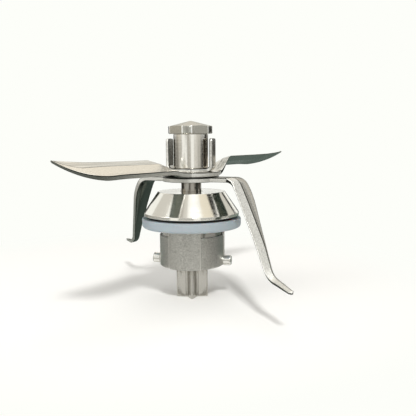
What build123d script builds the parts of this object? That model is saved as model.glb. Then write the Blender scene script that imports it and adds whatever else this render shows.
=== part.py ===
from build123d import *
import math
import os

os.makedirs("parts", exist_ok=True)

# Turned axis: the part stands on the foot of its coupling, +X runs through the right bayonet pin
RUNNING_CLEARANCE = 0.06
BALL_CLEARANCE = 0.08
SHAFT_HOLE_CLEARANCE = 0.4
THREAD_END_CLEARANCE = 0.4

# Angles of the parts about the shaft, in degrees from +X
UPPER_BLADE_ANGLE = 65.5
LOWER_BLADE_ANGLE = -22.2
STIRRUP_ANGLE = 0.0
NUT_CORNER_ANGLE = -85.5
COUPLING_LOBE_ANGLE = -77.4
FIRST_NOTCH_ANGLE = -30.0
NOTCH_COUNT = 3
NUT_SIDES = 5
LOBE_COUNT = 5

# Heights of the stack on the shaft
HOUSING_BOTTOM = 14.4
LOWER_BEARING_BOTTOM = 16.0
UPPER_BEARING_BOTTOM = 29.5
BEARING_WIDTH = 7.0
RING_BOTTOM = 31.6
RING_TOP = 35.8
CONE_RIM_BOTTOM = 36.8
CONE_RIM_TOP = 38.2
CONE_TOP = 47.4
BLADE_SEAT = 51.9
BLADE_THICKNESS = 1.9
SPACER_THICKNESS = 0.4
STIRRUP_THICKNESS = 1.6
SLEEVE_LENGTH = 14.9
NUT_PRISM_HEIGHT = 3.3
NUT_CONE_HEIGHT = 2.3
THREAD_REACH = 3.0
HOUSING_FLOOR = 15.6
SPIGOT_BOTTOM = 25.0
O_RING_SEAT = 26.4
SPIGOT_SHOULDER = 27.5
SEAL_BOTTOM = 38.6
SEAL_TOP = 43.6
SEAL_SEAT = 44.0
LOWER_HUB_TOP = BLADE_SEAT + BLADE_THICKNESS
UPPER_HUB_BOTTOM = LOWER_HUB_TOP + SPACER_THICKNESS
UPPER_HUB_TOP = UPPER_HUB_BOTTOM + BLADE_THICKNESS
STIRRUP_TOP = UPPER_HUB_TOP + STIRRUP_THICKNESS
NUT_BOTTOM = STIRRUP_TOP + SLEEVE_LENGTH
NUT_PRISM_TOP = NUT_BOTTOM + NUT_PRISM_HEIGHT
NUT_APEX = NUT_PRISM_TOP + NUT_CONE_HEIGHT
SHAFT_TOP = NUT_BOTTOM + THREAD_REACH

# Radii of the turned parts
BEARING_R = 11.0
SPIGOT_WALL = 1.4
NECK_STEP = 1.2
LAND_WALL = 1.04
RECESS_DEPTH = 0.34
SPIGOT_R = BEARING_R + SPIGOT_WALL
NECK_R = SPIGOT_R + NECK_STEP
LAND_R = NECK_R + LAND_WALL
RECESS_R = LAND_R - RECESS_DEPTH
RING_R = 22.0
GROOVE_R = 19.4
CONE_RIM_R = 21.1
CONE_TOP_R = 14.8
JOURNAL_R = 4.0
SHOULDER_R = 4.5
THREAD_R = 3.5
SEAT_R = 4.4
SEAT_FLAT = 3.55
HUB_R = 12.5
SLEEVE_R = 7.6
NUT_CORNER_R = 9.8
NUT_FLAT_R = 8.99
DUST_HOLE_R = 7.6
SEAL_R = 9.0
WASHER_R = 7.0
WAVE_WASHER_BORE_R = 9.2
OUTER_SPACER_BORE_R = 9.6
INNER_SPACER_R = 5.6
O_RING_GROOVE = 0.95


def export(shape, name):
    shape.label = name
    export_step(shape, "parts/" + name + ".step")


def turned(profile):
    """Solid of revolution from a closed profile of radius and height pairs."""
    face = make_face(Polyline([(r, 0, z) for r, z in profile], close=True))
    return revolve(face, Axis.Z, 360)


def tube(inner, outer, bottom, top):
    return turned([(inner, bottom), (outer, bottom), (outer, top), (inner, top)])


def about(shape, degrees):
    return Rot(0, 0, degrees) * shape


def seat_hole(bottom, top):
    """Round hole with two flats that drives the blades."""
    round_part = Pos(0, 0, bottom) * extrude(Circle(SEAT_R), top - bottom)
    flats = Pos(0, 0, bottom) * extrude(Rectangle(2 * SEAT_FLAT, 4 * SEAT_R), top - bottom)
    return round_part & flats


# Bearing housing: three lands stand proud of the wall, a notch opens the top of each recess
housing = turned([
    (DUST_HOLE_R, HOUSING_BOTTOM),
    (LAND_R - 0.9, HOUSING_BOTTOM),
    (LAND_R - 0.26, HOUSING_BOTTOM + 0.26),
    (LAND_R, HOUSING_BOTTOM + 0.9),
    (LAND_R, RING_BOTTOM),
    (NECK_R, RING_BOTTOM),
    (NECK_R, SPIGOT_SHOULDER),
    (SPIGOT_R + O_RING_GROOVE, SPIGOT_SHOULDER),
    (SPIGOT_R + O_RING_GROOVE, O_RING_SEAT),
    (SPIGOT_R, O_RING_SEAT),
    (SPIGOT_R, SPIGOT_BOTTOM),
    (BEARING_R, SPIGOT_BOTTOM),
    (BEARING_R, HOUSING_FLOOR),
    (DUST_HOLE_R, HOUSING_FLOOR),
])
NOTCH_FLOOR = 28.3
NOTCH_SPAN = 61.0


def ring_sector(inner, outer, bottom, top, span):
    """Part of a ring about +Z, centred on +X."""
    half = math.radians(span / 2)
    far = outer / math.cos(half)
    wedge = make_face(Polyline([
        (0, 0),
        (far * math.cos(half), -far * math.sin(half)),
        (far * math.cos(half), far * math.sin(half)),
    ], close=True))
    block = Pos(0, 0, bottom) * extrude(wedge, top - bottom)
    return tube(inner, outer, bottom, top) & block


recess_cut = ring_sector(RECESS_R, LAND_R + 2, HOUSING_BOTTOM - 1, RING_BOTTOM + 1, NOTCH_SPAN)
notch_cut = ring_sector(NECK_R - 0.5, LAND_R + 2, NOTCH_FLOOR, RING_BOTTOM + 1, NOTCH_SPAN)
for notch in range(NOTCH_COUNT):
    turn = FIRST_NOTCH_ANGLE + notch * 360 / NOTCH_COUNT
    housing = housing - about(recess_cut, turn)
    housing = housing - about(notch_cut, turn)

# Bayonet pins: chamfered round pins with a thinner shank pressed into the wall on either side
PIN_R = 2.25
PIN_SHANK_R = 1.9
PIN_STAND_OFF = 0.06
PIN_PROJECTION = 3.3
PIN_FLOOR = 0.9
PIN_END = LAND_R + PIN_PROJECTION
PIN_ROOT = BEARING_R + PIN_FLOOR
PIN_Z = 16.75
PIN_CHAMFER = 0.35


def bayonet_pin():
    shoulder = LAND_R + PIN_STAND_OFF
    pin = Pos(shoulder, 0, PIN_Z) * Rot(0, 90, 0) * extrude(Circle(PIN_R), PIN_END - shoulder)
    pin = chamfer(pin.edges().filter_by(GeomType.CIRCLE).sort_by(Axis.X)[-1], PIN_CHAMFER)
    return pin + Pos(PIN_ROOT, 0, PIN_Z) * Rot(0, 90, 0) * extrude(Circle(PIN_SHANK_R), shoulder - PIN_ROOT)


pin_right = bayonet_pin()
pin_left = about(bayonet_pin(), 180)
housing = housing - pin_right - pin_left
export(housing, "bearing_housing")
export(pin_right, "bayonet_pin_right")
export(pin_left, "bayonet_pin_left")

# Cone cover: polished cone, a neck through the sealing ring and a spigot into the housing
cone = turned([
    (BEARING_R, SPIGOT_BOTTOM),
    (SPIGOT_R, SPIGOT_BOTTOM),
    (SPIGOT_R, SPIGOT_SHOULDER),
    (NECK_R, SPIGOT_SHOULDER),
    (NECK_R, RING_TOP),
    (GROOVE_R, RING_TOP),
    (GROOVE_R, CONE_RIM_BOTTOM),
    (CONE_RIM_R - 0.25, CONE_RIM_BOTTOM),
    (CONE_RIM_R, CONE_RIM_BOTTOM + 0.25),
    (CONE_RIM_R, CONE_RIM_TOP - 0.15),
    (CONE_RIM_R - 0.12, CONE_RIM_TOP + 0.1),
    (CONE_TOP_R + 0.15, CONE_TOP - 0.22),
    (CONE_TOP_R - 0.2, CONE_TOP),
    (SHOULDER_R + SHAFT_HOLE_CLEARANCE, CONE_TOP),
    (SHOULDER_R + SHAFT_HOLE_CLEARANCE, SEAL_SEAT),
    (SEAL_R, SEAL_SEAT),
    (SEAL_R, UPPER_BEARING_BOTTOM + BEARING_WIDTH),
    (BEARING_R, UPPER_BEARING_BOTTOM + BEARING_WIDTH),
])
export(cone, "cone_cover")

# Sealing ring: soft ring clamped between the lands and the flange of the cone
ring_profile = make_face(Polyline([
    (NECK_R, 0, RING_BOTTOM),
    (RING_R, 0, RING_BOTTOM),
    (RING_R, 0, RING_TOP),
    (NECK_R, 0, RING_TOP),
], close=True))
sealing_ring = revolve(ring_profile, Axis.Z, 360)
outer_edges = sealing_ring.edges().filter_by(GeomType.CIRCLE).sort_by(SortBy.RADIUS)[-2:].sort_by(Axis.Z)
sealing_ring = fillet(outer_edges[0], 1.3)
top_edge = sealing_ring.edges().filter_by(GeomType.CIRCLE).sort_by(Axis.Z)[-2:].sort_by(SortBy.RADIUS)[-1]
sealing_ring = fillet(top_edge, 0.6)
export(sealing_ring, "sealing_ring")

# O-ring in the corner between the spigot and the housing
O_RING_R = 0.45
groove_mid_r = SPIGOT_R + O_RING_GROOVE / 2
o_ring = Pos(0, 0, (O_RING_SEAT + SPIGOT_SHOULDER) / 2) * Torus(groove_mid_r, O_RING_R)
export(o_ring, "neck_o_ring")

# Lip seal: stiff case in the cone and a lip that runs on the shaft
LIP_R = SHOULDER_R + RUNNING_CLEARANCE
lip_seal = turned([
    (SEAL_R, SEAL_BOTTOM),
    (SEAL_R, SEAL_TOP),
    (LIP_R + 1.1, SEAL_TOP),
    (LIP_R, SEAL_TOP - 0.6),
    (LIP_R, SEAL_TOP - 1.0),
    (LIP_R + 1.1, SEAL_TOP - 1.6),
    (LIP_R + 1.1, SEAL_BOTTOM + 1.8),
    (LIP_R, SEAL_BOTTOM + 1.0),
    (LIP_R + 0.4, SEAL_BOTTOM + 0.5),
    (LIP_R + 1.9, SEAL_BOTTOM + 1.4),
    (LIP_R + 1.9, SEAL_TOP - 1.4),
    (SEAL_R - 1.0, SEAL_TOP - 1.4),
    (SEAL_R - 1.0, SEAL_BOTTOM),
])
export(lip_seal, "lip_seal")

# Ball bearings: two rows of balls between grooved races
BALL_R = 1.95
BALL_PITCH_R = 7.5
BALL_COUNT = 7
INNER_RACE_R = 6.05
OUTER_RACE_R = 9.05
CAGE_INNER_R = 6.95
CAGE_OUTER_R = 8.05
CAGE_HALF_HEIGHT = 2.6
RACE_CHAMFER = 0.3


def grooved_race(inner, outer, bottom):
    mid = bottom + BEARING_WIDTH / 2
    top = bottom + BEARING_WIDTH
    race = turned([
        (inner, bottom + RACE_CHAMFER),
        (inner + RACE_CHAMFER, bottom),
        (outer - RACE_CHAMFER, bottom),
        (outer, bottom + RACE_CHAMFER),
        (outer, top - RACE_CHAMFER),
        (outer - RACE_CHAMFER, top),
        (inner + RACE_CHAMFER, top),
        (inner, top - RACE_CHAMFER),
    ])
    return race - Pos(0, 0, mid) * Torus(BALL_PITCH_R, BALL_R + BALL_CLEARANCE)


def ball_set(bottom):
    balls = []
    for step in range(BALL_COUNT):
        turn = math.radians(step * 360 / BALL_COUNT)
        place = Pos(BALL_PITCH_R * math.cos(turn), BALL_PITCH_R * math.sin(turn), bottom + BEARING_WIDTH / 2)
        balls.append(place * Sphere(BALL_R))
    return balls


def ball_cage(bottom):
    mid = bottom + BEARING_WIDTH / 2
    cage = tube(CAGE_INNER_R, CAGE_OUTER_R, mid - CAGE_HALF_HEIGHT, mid + CAGE_HALF_HEIGHT)
    for step in range(BALL_COUNT):
        pocket = Pos(5, 0, mid) * Rot(0, 90, 0) * extrude(Circle(BALL_R + BALL_CLEARANCE), 5)
        cage = cage - about(pocket, step * 360 / BALL_COUNT)
    return cage


for name, bottom in (("lower", LOWER_BEARING_BOTTOM), ("upper", UPPER_BEARING_BOTTOM)):
    export(grooved_race(JOURNAL_R, INNER_RACE_R, bottom), name + "_inner_race")
    export(grooved_race(OUTER_RACE_R, BEARING_R, bottom), name + "_outer_race")
    export(Compound(children=ball_set(bottom)), name + "_balls")
    export(ball_cage(bottom), name + "_cage")

# Spacers and the preload washer between the bearings and the housing
SPACER_BOTTOM = LOWER_BEARING_BOTTOM + BEARING_WIDTH
export(tube(OUTER_SPACER_BORE_R, BEARING_R, SPACER_BOTTOM, UPPER_BEARING_BOTTOM), "outer_spacer")
export(tube(JOURNAL_R, INNER_SPACER_R, SPACER_BOTTOM, UPPER_BEARING_BOTTOM), "inner_spacer")
export(tube(WAVE_WASHER_BORE_R, BEARING_R, HOUSING_FLOOR, LOWER_BEARING_BOTTOM), "wave_washer")

# Drive shaft: tail in the coupling, journal, shoulder under the blades, two flats and a thread
TAIL_R = 3.0
TAIL_BOTTOM = 4.5
SCREW_R = 1.5
SCREW_TOP = 11.0
shaft_profile = [
    (0, SCREW_TOP + 1),
    (SCREW_R, SCREW_TOP),
    (SCREW_R, TAIL_BOTTOM),
    (TAIL_R, TAIL_BOTTOM),
    (TAIL_R, LOWER_BEARING_BOTTOM),
    (JOURNAL_R, LOWER_BEARING_BOTTOM),
    (JOURNAL_R, UPPER_BEARING_BOTTOM + BEARING_WIDTH),
    (SHOULDER_R, UPPER_BEARING_BOTTOM + BEARING_WIDTH),
    (SHOULDER_R, BLADE_SEAT),
    (THREAD_R, BLADE_SEAT),
    (THREAD_R, SHAFT_TOP - 0.5),
    (THREAD_R - 0.5, SHAFT_TOP),
    (0, SHAFT_TOP),
]
shaft = turned(shaft_profile) + seat_hole(BLADE_SEAT, STIRRUP_TOP)
export(shaft, "drive_shaft")

# Drive coupling: five lobes round a core, with a collar that bears on the lower inner race
LOBE_R = 6.85
VALLEY_R = 4.3
LOBE_TOP = 14.0
COLLAR_R = 5.6
star_points = []
for step in range(2 * LOBE_COUNT):
    reach = LOBE_R + 1.2 if step % 2 == 0 else VALLEY_R - 0.45
    turn = math.radians(COUPLING_LOBE_ANGLE + step * 180 / LOBE_COUNT)
    star_points.append((reach * math.cos(turn), reach * math.sin(turn)))
star = make_face(Polyline(star_points, close=True))
tips = star.vertices().sort_by_distance((0, 0, 0))
star = fillet(tips[LOBE_COUNT:], 0.85)
valleys = star.vertices().sort_by_distance((0, 0, 0))[:LOBE_COUNT]
star = fillet(valleys, 1.6)
coupling = extrude(star, LOBE_TOP)
coupling = chamfer(coupling.faces().sort_by(Axis.Z)[0].edges(), 0.25)
coupling = coupling + tube(TAIL_R, COLLAR_R, LOBE_TOP - 1, LOWER_BEARING_BOTTOM)
bore = turned([
    (0, -1),
    (3.15, -1),
    (3.15, 0.3),
    (SCREW_R + 0.1, 2.0),
    (SCREW_R + 0.1, TAIL_BOTTOM),
    (TAIL_R, TAIL_BOTTOM),
    (TAIL_R, LOWER_BEARING_BOTTOM + 1),
    (0, LOWER_BEARING_BOTTOM + 1),
])
coupling = coupling - bore
export(coupling, "drive_coupling")

# Countersunk screw that holds the coupling, with a hexagon socket
screw = turned([
    (0, 0.3),
    (3.15, 0.3),
    (SCREW_R + 0.1, 2.0),
    (SCREW_R, 2.2),
    (SCREW_R, SCREW_TOP),
    (0, SCREW_TOP),
])
socket = extrude(RegularPolygon(1.1, 6), 1.6)
screw = screw - socket
export(screw, "coupling_screw")

# Blade hubs share one driving hole; wings are lofted through cross-sections along each arm


def cross_section(origin, across, normal, lead, trail, crease, drop, edge, thickness):
    """Blade section with a flat back, ground away from the top along the leading side.

    The top face runs through the origin and across points to the trailing side.
    """
    def at(side, depth):
        return tuple(origin[i] + across[i] * side - normal[i] * depth for i in range(3))

    middle = -lead + crease
    corners = [
        at(trail, 0),
        at(middle, 0),
        at(-lead, drop),
        at(-lead, drop + edge),
        at(middle, thickness),
        at(trail, thickness),
    ]
    return make_face(Polyline(corners, close=True))


def ramp(value, start, end):
    """Share of the way from start to end, kept between nought and one."""
    return min(1.0, max(0.0, (value - start) / (end - start)))


# Upper wing: the leading side twists up out of the hub, the trailing side curves in to the tip
WING_WIDTH = 15.0
WING_TRAIL = 8.0
BACK_WING_PITCH = 17.0
BACK_WING_LIFT = 2.9
FRONT_WING_PITCH = 19.6
FRONT_WING_LIFT = 1.4
WING_TIP = 71.6
WING_BELLY_START = 52.0
WING_BELLY_POWER = 2.2
WING_BULGE = 0.2
WING_BULGE_START = 26.0
BACK_WING_RISE = 0.0
FRONT_WING_RISE = 0.8
WING_RISE_START = 21.0
WING_TIP_PITCH = 33.6
WING_TIP_TWIST_START = 45.0
WING_TWIST_AXIS = 13.0
WING_ROOT = 6.0
WING_THIN_START = 56.0
WING_EDGE_DROP = 0.85
WING_EDGE = 0.3
WING_GRIND_WIDTH = 6.6
# Each wing rises out of the hub along a fold: its start and end on the trailing side, and its slant
FRONT_FOLD = (10.5, 21.4, 0.0)
BACK_FOLD = (21.0, 30.4, 0.6)
WING_SLANT_END = 62.0
wing_stations = (25.0, 31.0, 38.0, 42.0, 45.0, 48.5, 52.0, 56.0, 60.0, 63.5, 66.5, 69.0, 71.2)


def wing_section(reach, pitch, lift, rise, fold):
    belly = max(0.0, (reach - WING_BELLY_START) / (WING_TIP - WING_BELLY_START))
    cut = (WING_WIDTH - 0.3) * belly ** WING_BELLY_POWER
    bulge = math.sin(math.pi * ramp(reach, WING_BULGE_START, WING_TIP))
    cut = cut - WING_BULGE * bulge * bulge
    fold_start, fold_end, slant = fold
    twist = ramp(reach, fold_start, fold_end)
    twist = twist * twist * (3 - 2 * twist)
    root_tilt = math.radians(pitch * twist)
    tip_twist = (WING_TIP_PITCH - pitch) * ramp(reach, WING_TIP_TWIST_START, WING_TIP) ** 2
    tilt = root_tilt + math.radians(tip_twist)
    slant = slant * (1 - ramp(reach, fold_end, WING_SLANT_END))
    across = (slant, math.cos(tilt), -math.sin(tilt))
    normal = (0, math.sin(tilt), math.cos(tilt))
    height = UPPER_HUB_TOP + lift * twist + rise * ramp(reach, WING_RISE_START, WING_TIP) ** 2
    height = height - WING_TWIST_AXIS * (math.sin(tilt) - math.sin(root_tilt))
    thickness = BLADE_THICKNESS * (1 - 0.55 * ramp(reach, WING_THIN_START, WING_TIP))
    drop = WING_EDGE_DROP * twist * thickness / BLADE_THICKNESS
    edge = thickness - (thickness - WING_EDGE) * twist
    crease = min(WING_GRIND_WIDTH, 0.55 * (WING_WIDTH - cut))
    hinge = (reach, WING_TRAIL, height)
    return cross_section(hinge, across, normal, WING_WIDTH, -cut, crease, drop, edge, thickness)


def wing(pitch, lift, rise, fold):
    fold_start, fold_end, slant = fold
    stations = [fold_start + (fold_end - fold_start) * step / 8 for step in range(9)]
    stations = stations + [reach for reach in wing_stations if reach > fold_end + 1.5]
    return loft([wing_section(reach, pitch, lift, rise, fold) for reach in stations])


def wing_root(fold):
    fold_start, fold_end, slant = fold
    return make_face(Polyline([
        (WING_ROOT, WING_TRAIL),
        (WING_ROOT, WING_TRAIL - WING_WIDTH),
        (fold_start - slant * WING_WIDTH, WING_TRAIL - WING_WIDTH),
        (fold_start, WING_TRAIL),
    ], close=True))


hub_plan = Circle(HUB_R) + wing_root(BACK_FOLD) + about(wing_root(FRONT_FOLD), 180)
upper_blade = Pos(0, 0, UPPER_HUB_BOTTOM) * extrude(hub_plan, BLADE_THICKNESS)
upper_blade = upper_blade + wing(BACK_WING_PITCH, BACK_WING_LIFT, BACK_WING_RISE, BACK_FOLD)
upper_blade = upper_blade + about(wing(FRONT_WING_PITCH, FRONT_WING_LIFT, FRONT_WING_RISE, FRONT_FOLD), 180)
upper_blade = about(upper_blade, UPPER_BLADE_ANGLE) - seat_hole(UPPER_HUB_BOTTOM - 1, UPPER_HUB_TOP + 1)
export(upper_blade, "upper_blade")

# Lower arm: a strip that bends down, sweeps to its leading side, tapers and turns out into a foot
ARM_BEND_START = 18.7
ARM_ROOT = 12.0
ARM_BEND_R = 6.0
ARM_BEND = 52.0
ARM_LEG = 39.0
ARM_FOOT_R = 8.0
ARM_FOOT_BEND = 44.0
ARM_FOOT = 9.3
ARM_EDGE_DROP = 1.3
ARM_EDGE = 0.4
ARM_GRIND_WIDTH = 4.4
ARM_TIP_THICKNESS = 1.1
LEAN = math.radians(ARM_BEND)
FOOT_LEAN = math.radians(ARM_BEND - ARM_FOOT_BEND)
BEND_RUN = ARM_BEND_R * LEAN
LEG_END = BEND_RUN + ARM_LEG
FOOT_START = LEG_END + ARM_FOOT_R * (LEAN - FOOT_LEAN)
ARM_LENGTH = FOOT_START + ARM_FOOT
# Outline of the flat strip: run past the start of the bend, leading side, trailing side
arm_outline = (
    (-ARM_ROOT, -4.2, 6.6),
    (0.0, -0.9, 8.6),
    (BEND_RUN, -0.7, 9.4),
    (10.0, -2.2, 8.3),
    (15.0, -4.0, 5.9),
    (31.0, -10.2, -4.0),
    (LEG_END, -16.2, -12.3),
    (FOOT_START, -19.3, -16.0),
    (ARM_LENGTH - 1.2, -24.5, -22.1),
    (ARM_LENGTH, -24.2, -22.9),
)


def arm_sides(run):
    """Leading and trailing side of the strip, straight between the rows of its outline."""
    for before, after in zip(arm_outline, arm_outline[1:]):
        if run <= after[0]:
            break
    share = ramp(run, before[0], after[0])
    return before[1] + share * (after[1] - before[1]), before[2] + share * (after[2] - before[2])


def arm_path(run):
    """Distance out, distance down and slope of the arm at a run past the start of the bend."""
    if run <= 0:
        return run, 0.0, 0.0
    swing = min(LEAN, run / ARM_BEND_R)
    out = ARM_BEND_R * math.sin(swing)
    down = ARM_BEND_R * (1 - math.cos(swing))
    leg = min(ARM_LEG, max(0.0, run - BEND_RUN))
    out = out + leg * math.cos(LEAN)
    down = down + leg * math.sin(LEAN)
    if run > LEG_END:
        swing = max(FOOT_LEAN, LEAN - (run - LEG_END) / ARM_FOOT_R)
        out = out + ARM_FOOT_R * (math.sin(LEAN) - math.sin(swing))
        down = down + ARM_FOOT_R * (math.cos(swing) - math.cos(LEAN))
    foot = max(0.0, run - FOOT_START)
    return out + foot * math.cos(FOOT_LEAN), down + foot * math.sin(FOOT_LEAN), swing


def arm_section(run):
    out, down, swing = arm_path(run)
    lead, trail = arm_sides(run)
    normal = (math.sin(swing), 0, math.cos(swing))
    origin = (ARM_BEND_START + out, 0, LOWER_HUB_TOP - down)
    ground = ramp(run, 0.0, 7.0) * (1 - 0.6 * ramp(run, LEG_END, FOOT_START))
    crease = min(ARM_GRIND_WIDTH, 0.8 * (trail - lead))
    drop = ARM_EDGE_DROP * ground
    thickness = BLADE_THICKNESS - (BLADE_THICKNESS - ARM_TIP_THICKNESS) * ramp(run, LEG_END, ARM_LENGTH)
    drop = drop * thickness / BLADE_THICKNESS
    edge = thickness - (thickness - ARM_EDGE) * ground
    return cross_section(origin, (0, 1, 0), normal, -lead, trail, crease, drop, edge, thickness)


arm_runs = [BEND_RUN * step / 4 for step in range(5)]
arm_runs = arm_runs + [10.0, 15.0, 23.0, 31.0, 39.0, LEG_END]
arm_runs = arm_runs + [LEG_END + (FOOT_START - LEG_END) * step / 3 for step in range(1, 4)]
arm_runs = arm_runs + [FOOT_START + 0.5 * ARM_FOOT, ARM_LENGTH - 1.2, ARM_LENGTH]
root_lead, root_trail = arm_sides(-ARM_ROOT)
bend_lead, bend_trail = arm_sides(0.0)
arm_root = make_face(Polyline([
    (ARM_BEND_START - ARM_ROOT, root_lead),
    (ARM_BEND_START, bend_lead),
    (ARM_BEND_START, bend_trail),
    (ARM_BEND_START - ARM_ROOT, root_trail),
], close=True))
arm = loft([arm_section(run) for run in arm_runs]) + Pos(0, 0, BLADE_SEAT) * extrude(arm_root, BLADE_THICKNESS)
lower_hub = Pos(0, 0, BLADE_SEAT) * extrude(Circle(HUB_R), BLADE_THICKNESS)
lower_blade = lower_hub + arm + about(arm, 180)
lower_blade = about(lower_blade, LOWER_BLADE_ANGLE) - seat_hole(BLADE_SEAT - 1, LOWER_HUB_TOP + 1)
export(lower_blade, "lower_blade")

# Thin washer between the two blade hubs
washer = Pos(0, 0, LOWER_HUB_TOP) * extrude(Circle(WASHER_R), SPACER_THICKNESS)
washer = washer - seat_hole(LOWER_HUB_TOP - 1, UPPER_HUB_BOTTOM + 1)
export(washer, "blade_spacer")

# Stirrup bracket: round base with two tabs bent up beside the sleeve
STIRRUP_R = 9.2
TAB_WIDTH = 7.5
TAB_INNER_R = 9.0
TAB_THICKNESS = 1.4
TAB_HEIGHT = 12.8
TAB_TOP = STIRRUP_TOP + TAB_HEIGHT
TAB_BEND = 1.2
tab_outer = TAB_INNER_R + TAB_THICKNESS
strap = make_face(Polyline([
    (0, 0, UPPER_HUB_TOP),
    (tab_outer, 0, UPPER_HUB_TOP),
    (tab_outer, 0, TAB_TOP),
    (TAB_INNER_R, 0, TAB_TOP),
    (TAB_INNER_R, 0, STIRRUP_TOP),
    (0, 0, STIRRUP_TOP),
], close=True))
tab = extrude(strap, TAB_WIDTH / 2, both=True)
bend_edges = tab.edges().filter_by(Axis.Y)
outer_bend = [e for e in bend_edges if e.center().X > tab_outer - 0.1 and e.center().Z < UPPER_HUB_TOP + 0.1]
tab = fillet(outer_bend, TAB_BEND + TAB_THICKNESS)
bend_edges = tab.edges().filter_by(Axis.Y)
inner_bend = [
    e for e in bend_edges
    if abs(e.center().X - TAB_INNER_R) < 0.1 and abs(e.center().Z - STIRRUP_TOP) < 0.1
]
tab = fillet(inner_bend, TAB_BEND)
corner_edges = [e for e in tab.edges().filter_by(Axis.X) if e.center().Z > TAB_TOP - 0.1]
tab = fillet(corner_edges, 1.2)
base = Pos(0, 0, UPPER_HUB_TOP) * extrude(Circle(STIRRUP_R), STIRRUP_THICKNESS)
stirrup = base + about(tab, STIRRUP_ANGLE) + about(tab, STIRRUP_ANGLE + 180)
stirrup = stirrup - seat_hole(UPPER_HUB_TOP - 1, STIRRUP_TOP + 1)
MARK_WIDTH = 0.7
MARK_DEPTH = 0.8
mark = Pos(STIRRUP_R, 0, (UPPER_HUB_TOP + STIRRUP_TOP) / 2)
mark = mark * Box(2 * MARK_DEPTH, MARK_WIDTH, 2 * STIRRUP_THICKNESS)
stirrup = stirrup - about(mark, -75.5)
export(stirrup, "stirrup_bracket")

# Hub sleeve: polished tube between the stirrup and the nut
sleeve = turned([
    (SEAT_R + 0.3, STIRRUP_TOP),
    (SLEEVE_R - 0.3, STIRRUP_TOP),
    (SLEEVE_R, STIRRUP_TOP + 0.3),
    (SLEEVE_R, NUT_BOTTOM - 0.3),
    (SLEEVE_R - 0.3, NUT_BOTTOM),
    (SEAT_R + 0.3, NUT_BOTTOM),
])
export(sleeve, "hub_sleeve")

# Cap nut: five flats with turned corners under a low cone
nut = turned([
    (0, NUT_BOTTOM),
    (NUT_CORNER_R - 0.4, NUT_BOTTOM),
    (NUT_CORNER_R, NUT_BOTTOM + 0.4),
    (NUT_CORNER_R, NUT_PRISM_TOP),
    (0.8, NUT_APEX - 0.08),
    (0, NUT_APEX),
])
pentagon = RegularPolygon(NUT_FLAT_R, NUT_SIDES, major_radius=False)
first_corner = pentagon.vertices()[0]
corner_turn = math.degrees(math.atan2(first_corner.Y, first_corner.X))
prism = Pos(0, 0, NUT_BOTTOM - 1) * extrude(pentagon, 10)
nut = nut & about(prism, NUT_CORNER_ANGLE - corner_turn)
thread_hole = Pos(0, 0, NUT_BOTTOM) * extrude(Circle(THREAD_R), THREAD_REACH + THREAD_END_CLEARANCE)
nut = nut - thread_hole
export(nut, "cap_nut")
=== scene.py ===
# %% [markdown]
# # Blender blade assembly
# This lesson dresses a finished CAD model of a blender's knife: four steel wings on one spindle, which runs
# in a housing that turns into the floor of the jar. The CAD model is loaded as a fixed frame in metres,
# with +Z up and the foot of the drive coupling on the floor. Every visible piece is then made again as a fine
# smooth surface, because a CAD mesh is flat triangles, and polished steel shows each of them.

# %% Load the frame
import math

import bmesh
import bpy
import numpy as np
from mathutils import Matrix, Vector


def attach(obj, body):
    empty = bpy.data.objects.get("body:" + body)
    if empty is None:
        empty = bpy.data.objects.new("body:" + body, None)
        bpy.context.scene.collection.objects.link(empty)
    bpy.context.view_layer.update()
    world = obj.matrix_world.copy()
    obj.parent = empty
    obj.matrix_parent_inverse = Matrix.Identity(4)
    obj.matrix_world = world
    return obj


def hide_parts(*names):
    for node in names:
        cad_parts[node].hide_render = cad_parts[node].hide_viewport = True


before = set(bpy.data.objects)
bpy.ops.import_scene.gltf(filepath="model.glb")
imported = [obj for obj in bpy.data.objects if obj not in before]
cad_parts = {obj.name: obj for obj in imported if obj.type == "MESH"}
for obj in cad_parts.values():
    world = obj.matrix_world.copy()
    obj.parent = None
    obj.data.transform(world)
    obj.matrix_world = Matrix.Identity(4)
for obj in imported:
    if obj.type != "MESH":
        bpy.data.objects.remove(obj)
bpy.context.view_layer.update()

# %% [markdown]
# ## Units and angles
# The drawing of this part is in millimetres and degrees, Blender works in metres and radians. The heights
# and radii below are the drawing's own, so that each new surface lies exactly where its CAD solid does.

# %% Drawing values
MM = 0.001
UPPER_BLADE_ANGLE = 65.5
LOWER_BLADE_ANGLE = -22.2
NUT_CORNER_ANGLE = -85.5
COUPLING_LOBE_ANGLE = -77.4
FIRST_NOTCH_ANGLE = -30.0
HOUSING_BOTTOM, RING_BOTTOM, RING_TOP = 14.4, 31.6, 35.8
CONE_RIM_BOTTOM, CONE_RIM_TOP, CONE_TOP = 36.8, 38.2, 47.4
BLADE_SEAT, BLADE_THICKNESS, SPACER_THICKNESS, STRAP_THICKNESS = 51.9, 1.9, 0.4, 1.6
LOWER_HUB_TOP = BLADE_SEAT + BLADE_THICKNESS
UPPER_HUB_TOP = LOWER_HUB_TOP + SPACER_THICKNESS + BLADE_THICKNESS
STIRRUP_TOP = UPPER_HUB_TOP + STRAP_THICKNESS
NUT_BOTTOM, NUT_PRISM_TOP, NUT_APEX = 72.6, 75.9, 78.2
HUB_R = 12.5
print("stack heights", BLADE_SEAT, LOWER_HUB_TOP, UPPER_HUB_TOP, STIRRUP_TOP)

# %% [markdown]
# ## The camera
# A product photograph is taken from a fixed place. Here it stands a quarter of a metre away, a little above
# the blades, and looks down by seven degrees. The place could be found by eye, but a least-squares fit of the
# round rims and the paired wings to their outlines gives it to a fraction of a degree.

# %% Camera
FOCAL_PIXELS, IMAGE_PIXELS, SENSOR = 556.5, 416, 36.0
DISTANCE, HEIGHT = 246.7, 70.6
PITCH, YAW, ROLL, TURN = np.radians([7.141, 1.708, -0.428, 14.5])


def put(name, data):
    """A new object that holds the data, linked into the scene."""
    item = bpy.data.objects.new(name, data)
    bpy.context.scene.collection.objects.link(item)
    return item


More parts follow.
